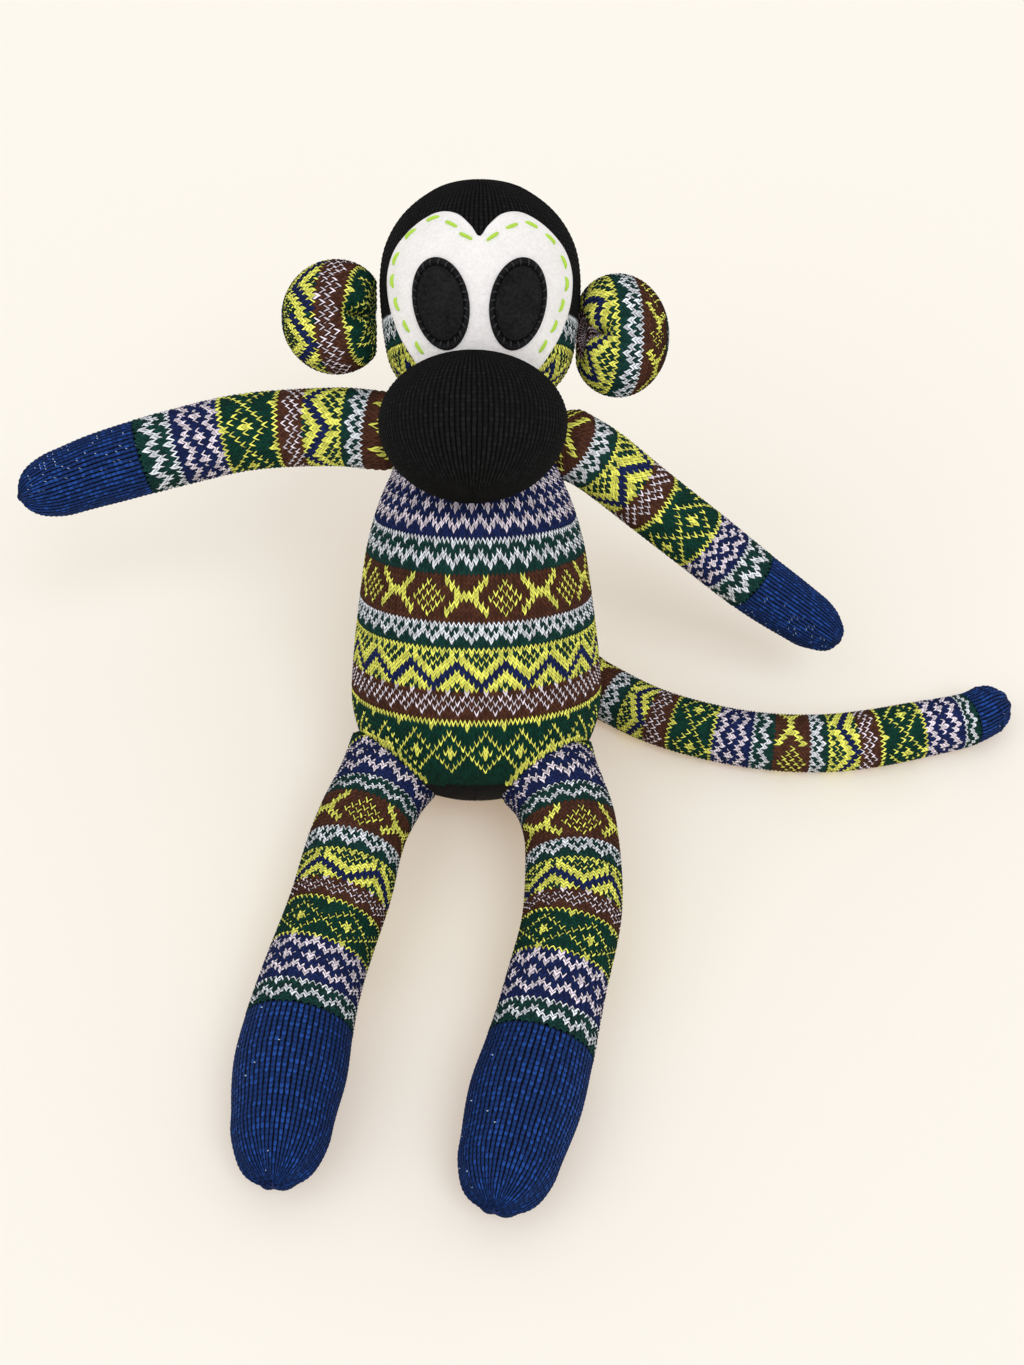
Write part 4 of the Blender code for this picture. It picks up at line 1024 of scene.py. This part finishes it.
def make_ear(side):
    """One ear. It is shaped along its outward, backward and upward directions, measured from its hinge."""
    hinge = anchor[f"{side}_ear_flop"]
    outward = sideways if side == "left" else -sideways
    tilt = EAR_BACK_TILT[side]
    bands = EAR_BANDS[side]
    chart = band_rows(bands, [0] * len(bands))
    rows = len(chart)
    sizes = np.array(EAR_HALF_SIZES[side])
    pole = np.array((math.cos(tilt), math.sin(tilt), 0))
    first = np.array((math.sin(tilt), -math.cos(tilt), 0))
    second = np.array((0, 0, 1.0))

    def place(turn, row):
        angle = math.pi * np.clip(row, 0, rows) / rows
        ring = first * np.cos(turn)[:, None] + second * np.sin(turn)[:, None]
        ball = pole * np.cos(angle)[:, None] + ring * np.sin(angle)[:, None]
        near = np.remainder(turn + math.pi, 2 * math.pi) - math.pi
        below = math.pi - angle
        crease = (np.exp(-(near / EAR_CREASE["half_width"]) ** 2)
                  * np.exp(-((below - EAR_CREASE["from_pole"]) / EAR_CREASE["reach"]) ** 2))
        dimple = np.exp(-(below / EAR_DIMPLE["reach"]) ** 2)
        swell = 1 - EAR_DIMPLE["depth"] * dimple - EAR_CREASE["depth"] * crease
        local = ball * sizes * swell[:, None] + np.array((EAR_REACH[side], 0, 0))
        limit = np.abs(local[:, 1]) * math.tan(EAR_SWING) + EAR_CLEARANCE
        local[:, 0] = np.maximum(local[:, 0], limit)
        return hinge + outward * local[:, :1] - head_front * local[:, 1:2] + head_up * local[:, 2:3]

    def yarn_at(column, row):
        return chart[row, column % CHART_COLUMNS]

    ear = knit(f"{side}_ear_knit", EAR_COLUMNS, (0, rows), place, yarn_at)
    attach(ear, f"{side}_ear")
    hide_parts(f"{side}_ear", f"{side}_ear_stuffing")


make_ear("left")
make_ear("right")


# Arms: stuffed tubes cut from the leg of the second sock, sewn to the shoulders. The sock's ribbed blue
# cuff is gathered to a hand, and stuffing shows as pale specks where it is stretched.
ARM_COLUMNS = 40
ARM_BEND = 7 * MM
ARM_SPECKS = 0.16
ARM_MARKS = {
    "left": (("C", -16), ("D", 0), ("E", 9), ("F", 25), ("G", 34), ("A", 56), ("B", 68), ("cuff", 79.5)),
    "right": (("C", -14), ("D", 2.7), ("E", 10), ("F", 23), ("G", 31), ("A", 51), ("B", 66), ("cuff", 78.5))}
LEG_SHIFTS = {"C": 1, "E": 5, "G": 4}
BAND_ORDER = "ABCDEFG"
CUFF_PITCH = 1.7 * MM
CUFF_SHARE = 1.25
PLEATS = 7
PLEAT_DEPTH = 0.13
PLEAT_REACH = 7 * MM


def limb_pieces(limb, columns, marks, bodies, bend, specks):
    """A limb's patterned sleeve and its ribbed end."""
    line, outline = limbs[limb]
    bands = [mark[0] for mark in marks[:-1]]
    numbers = [0]
    for band in bands:
        numbers.append(numbers[-1] + BAND_ROWS[band])
    ways = outline.way_to(np.array([edge for band, edge in marks]) * MM)
    root_rows = max(1, round(ways[0] / CUFF_PITCH))
    lead_rows = 0
    while lead_rows < root_rows:
        bands.insert(0, BAND_ORDER[BAND_ORDER.index(bands[0]) - 1])
        lead_rows += BAND_ROWS[bands[0]]
    chart = band_rows(bands, [LEG_SHIFTS.get(band, 0) if limb.endswith("leg") else 0 for band in bands])
    cuff_rows = round((outline.way[-1] - ways[-1]) / CUFF_PITCH)
    row_marks = [-root_rows, *numbers, numbers[-1] + cuff_rows]
    row_ways = [0, *ways, outline.way[-1]]
    tip = outline.points[-1, 0]

    def place(turn, row):
        distance, radius = outline.at(np.interp(row, row_marks, row_ways))
        centre, side, front, along = line.at(distance)
        turn = turn + math.pi
        pleat = np.cos(PLEATS * turn) * np.exp(-((tip - distance) / PLEAT_REACH) ** 2)
        radius = radius * (1 + PLEAT_DEPTH * pleat)
        return centre + (side * np.sin(turn)[:, None] + front * np.cos(turn)[:, None]) * radius[:, None]

    def mould(points, normal):
        return run_in(points, normal, body_depth(points), RUN_IN[limb])

    def yarn_at(column, row):
        return chart[row + lead_rows, column % CHART_COLUMNS]

    sleeve = knit(f"{limb}_knit", columns, (-root_rows, numbers[-1]), place, yarn_at, mould)
    centre, side, front, along = line.at(np.array((-bend, bend)))
    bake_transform(sleeve)
    cuff = knit(f"{limb}_cuff_knit", round(columns * CUFF_SHARE), (numbers[-1], numbers[-1] + cuff_rows), place,
                plain("blue"), wales=specks)
    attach(cuff, bodies[1])
    return sleeve, cuff


for side in ("left", "right"):
    sleeve, cuff = limb_pieces(f"{side}_arm", ARM_COLUMNS, ARM_MARKS[side], (f"{side}_shoulder", f"{side}_arm"),
                               ARM_BEND, ARM_SPECKS)
    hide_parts(f"{side}_arm", f"{side}_arm_stuffing", f"{side}_shoulder_wad")
    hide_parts(f"{side}_hand")

# Legs: two stuffed tubes of the sock's leg that run into the body at a curved seam, with the ribbed blue
# cuffs gathered to feet.
LEG_COLUMNS = 48
LEG_BEND = 9 * MM
LEG_SPECKS = 0.012
LEG_MARKS = {
    side: (("A", -15), ("B", -1.5), ("C", 3.5), ("D", 16), ("E", 23.5), ("F", 35), ("G", 41.5), ("A", 56),
           ("B", last_band), ("cuff", cuff_start))
    for side, last_band, cuff_start in (("left", 72, 82), ("right", 70, 79))}
for side in ("left", "right"):
    sleeve, cuff = limb_pieces(f"{side}_leg", LEG_COLUMNS, LEG_MARKS[side], (f"{side}_hip", f"{side}_leg"),
                               LEG_BEND, LEG_SPECKS)
    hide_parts(f"{side}_leg", f"{side}_leg_stuffing", f"{side}_hip_wad")
    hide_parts(f"{side}_foot")

# Tail: a long thin stuffed tube of the same sock, sewn low on the back. It lies on the floor round the
# doll's left side and ends in a gathered blue tip.
TAIL_COLUMNS = 32
TAIL_BEND = 6 * MM
TAIL_SPECKS = 0.05
TAIL_MARKS = (("A", 20), ("B", 31), ("C", 41), ("D", 52.5), ("E", 60), ("F", 69), ("G", 76.5), ("A", 92),
              ("B", 104), ("C", 111.5), ("D", 123), ("E", 129), ("F", 139), ("G", 146), ("A", 162.5),
              ("B", 176), ("cuff", 181))
sleeve, cuff = limb_pieces("tail", TAIL_COLUMNS, TAIL_MARKS, ("tail_root", "tail"), TAIL_BEND, TAIL_SPECKS)
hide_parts("tail", "tail_stuffing", "tail_root_wad")
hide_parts("tail_tip")

# Gather threads: two small stitches of blue cotton thread across the tip of each cuff. They draw its edge
# together after stuffing.
GATHER_STITCH = ((-2.4, -1.2), (-1.2, 0.1), (0, 0.4), (1.2, 0.1), (2.4, -1.2))
GATHER_THREAD = 0.45 * MM
blue_thread = thread_material("blue_thread", (18, 36, 84))
for tip_name, limb in (("left_hand", "left_arm"), ("right_hand", "right_arm"), ("left_foot", "left_leg"),
                       ("right_foot", "right_leg"), ("tail", "tail")):
    line, outline = limbs[limb]
    centre, side, front, along = line.at(outline.points[-1:, 0])
    gather_paths = [centre + np.array([way[0] * across + along[0] * out for across, out in GATHER_STITCH]) * MM
                    for way in (side, front)]
    gather = thread_piece(f"{tip_name}_gather_stitches", gather_paths, GATHER_THREAD, blue_thread)
    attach(gather, limb)
    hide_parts(f"{tip_name}_gather_thread")
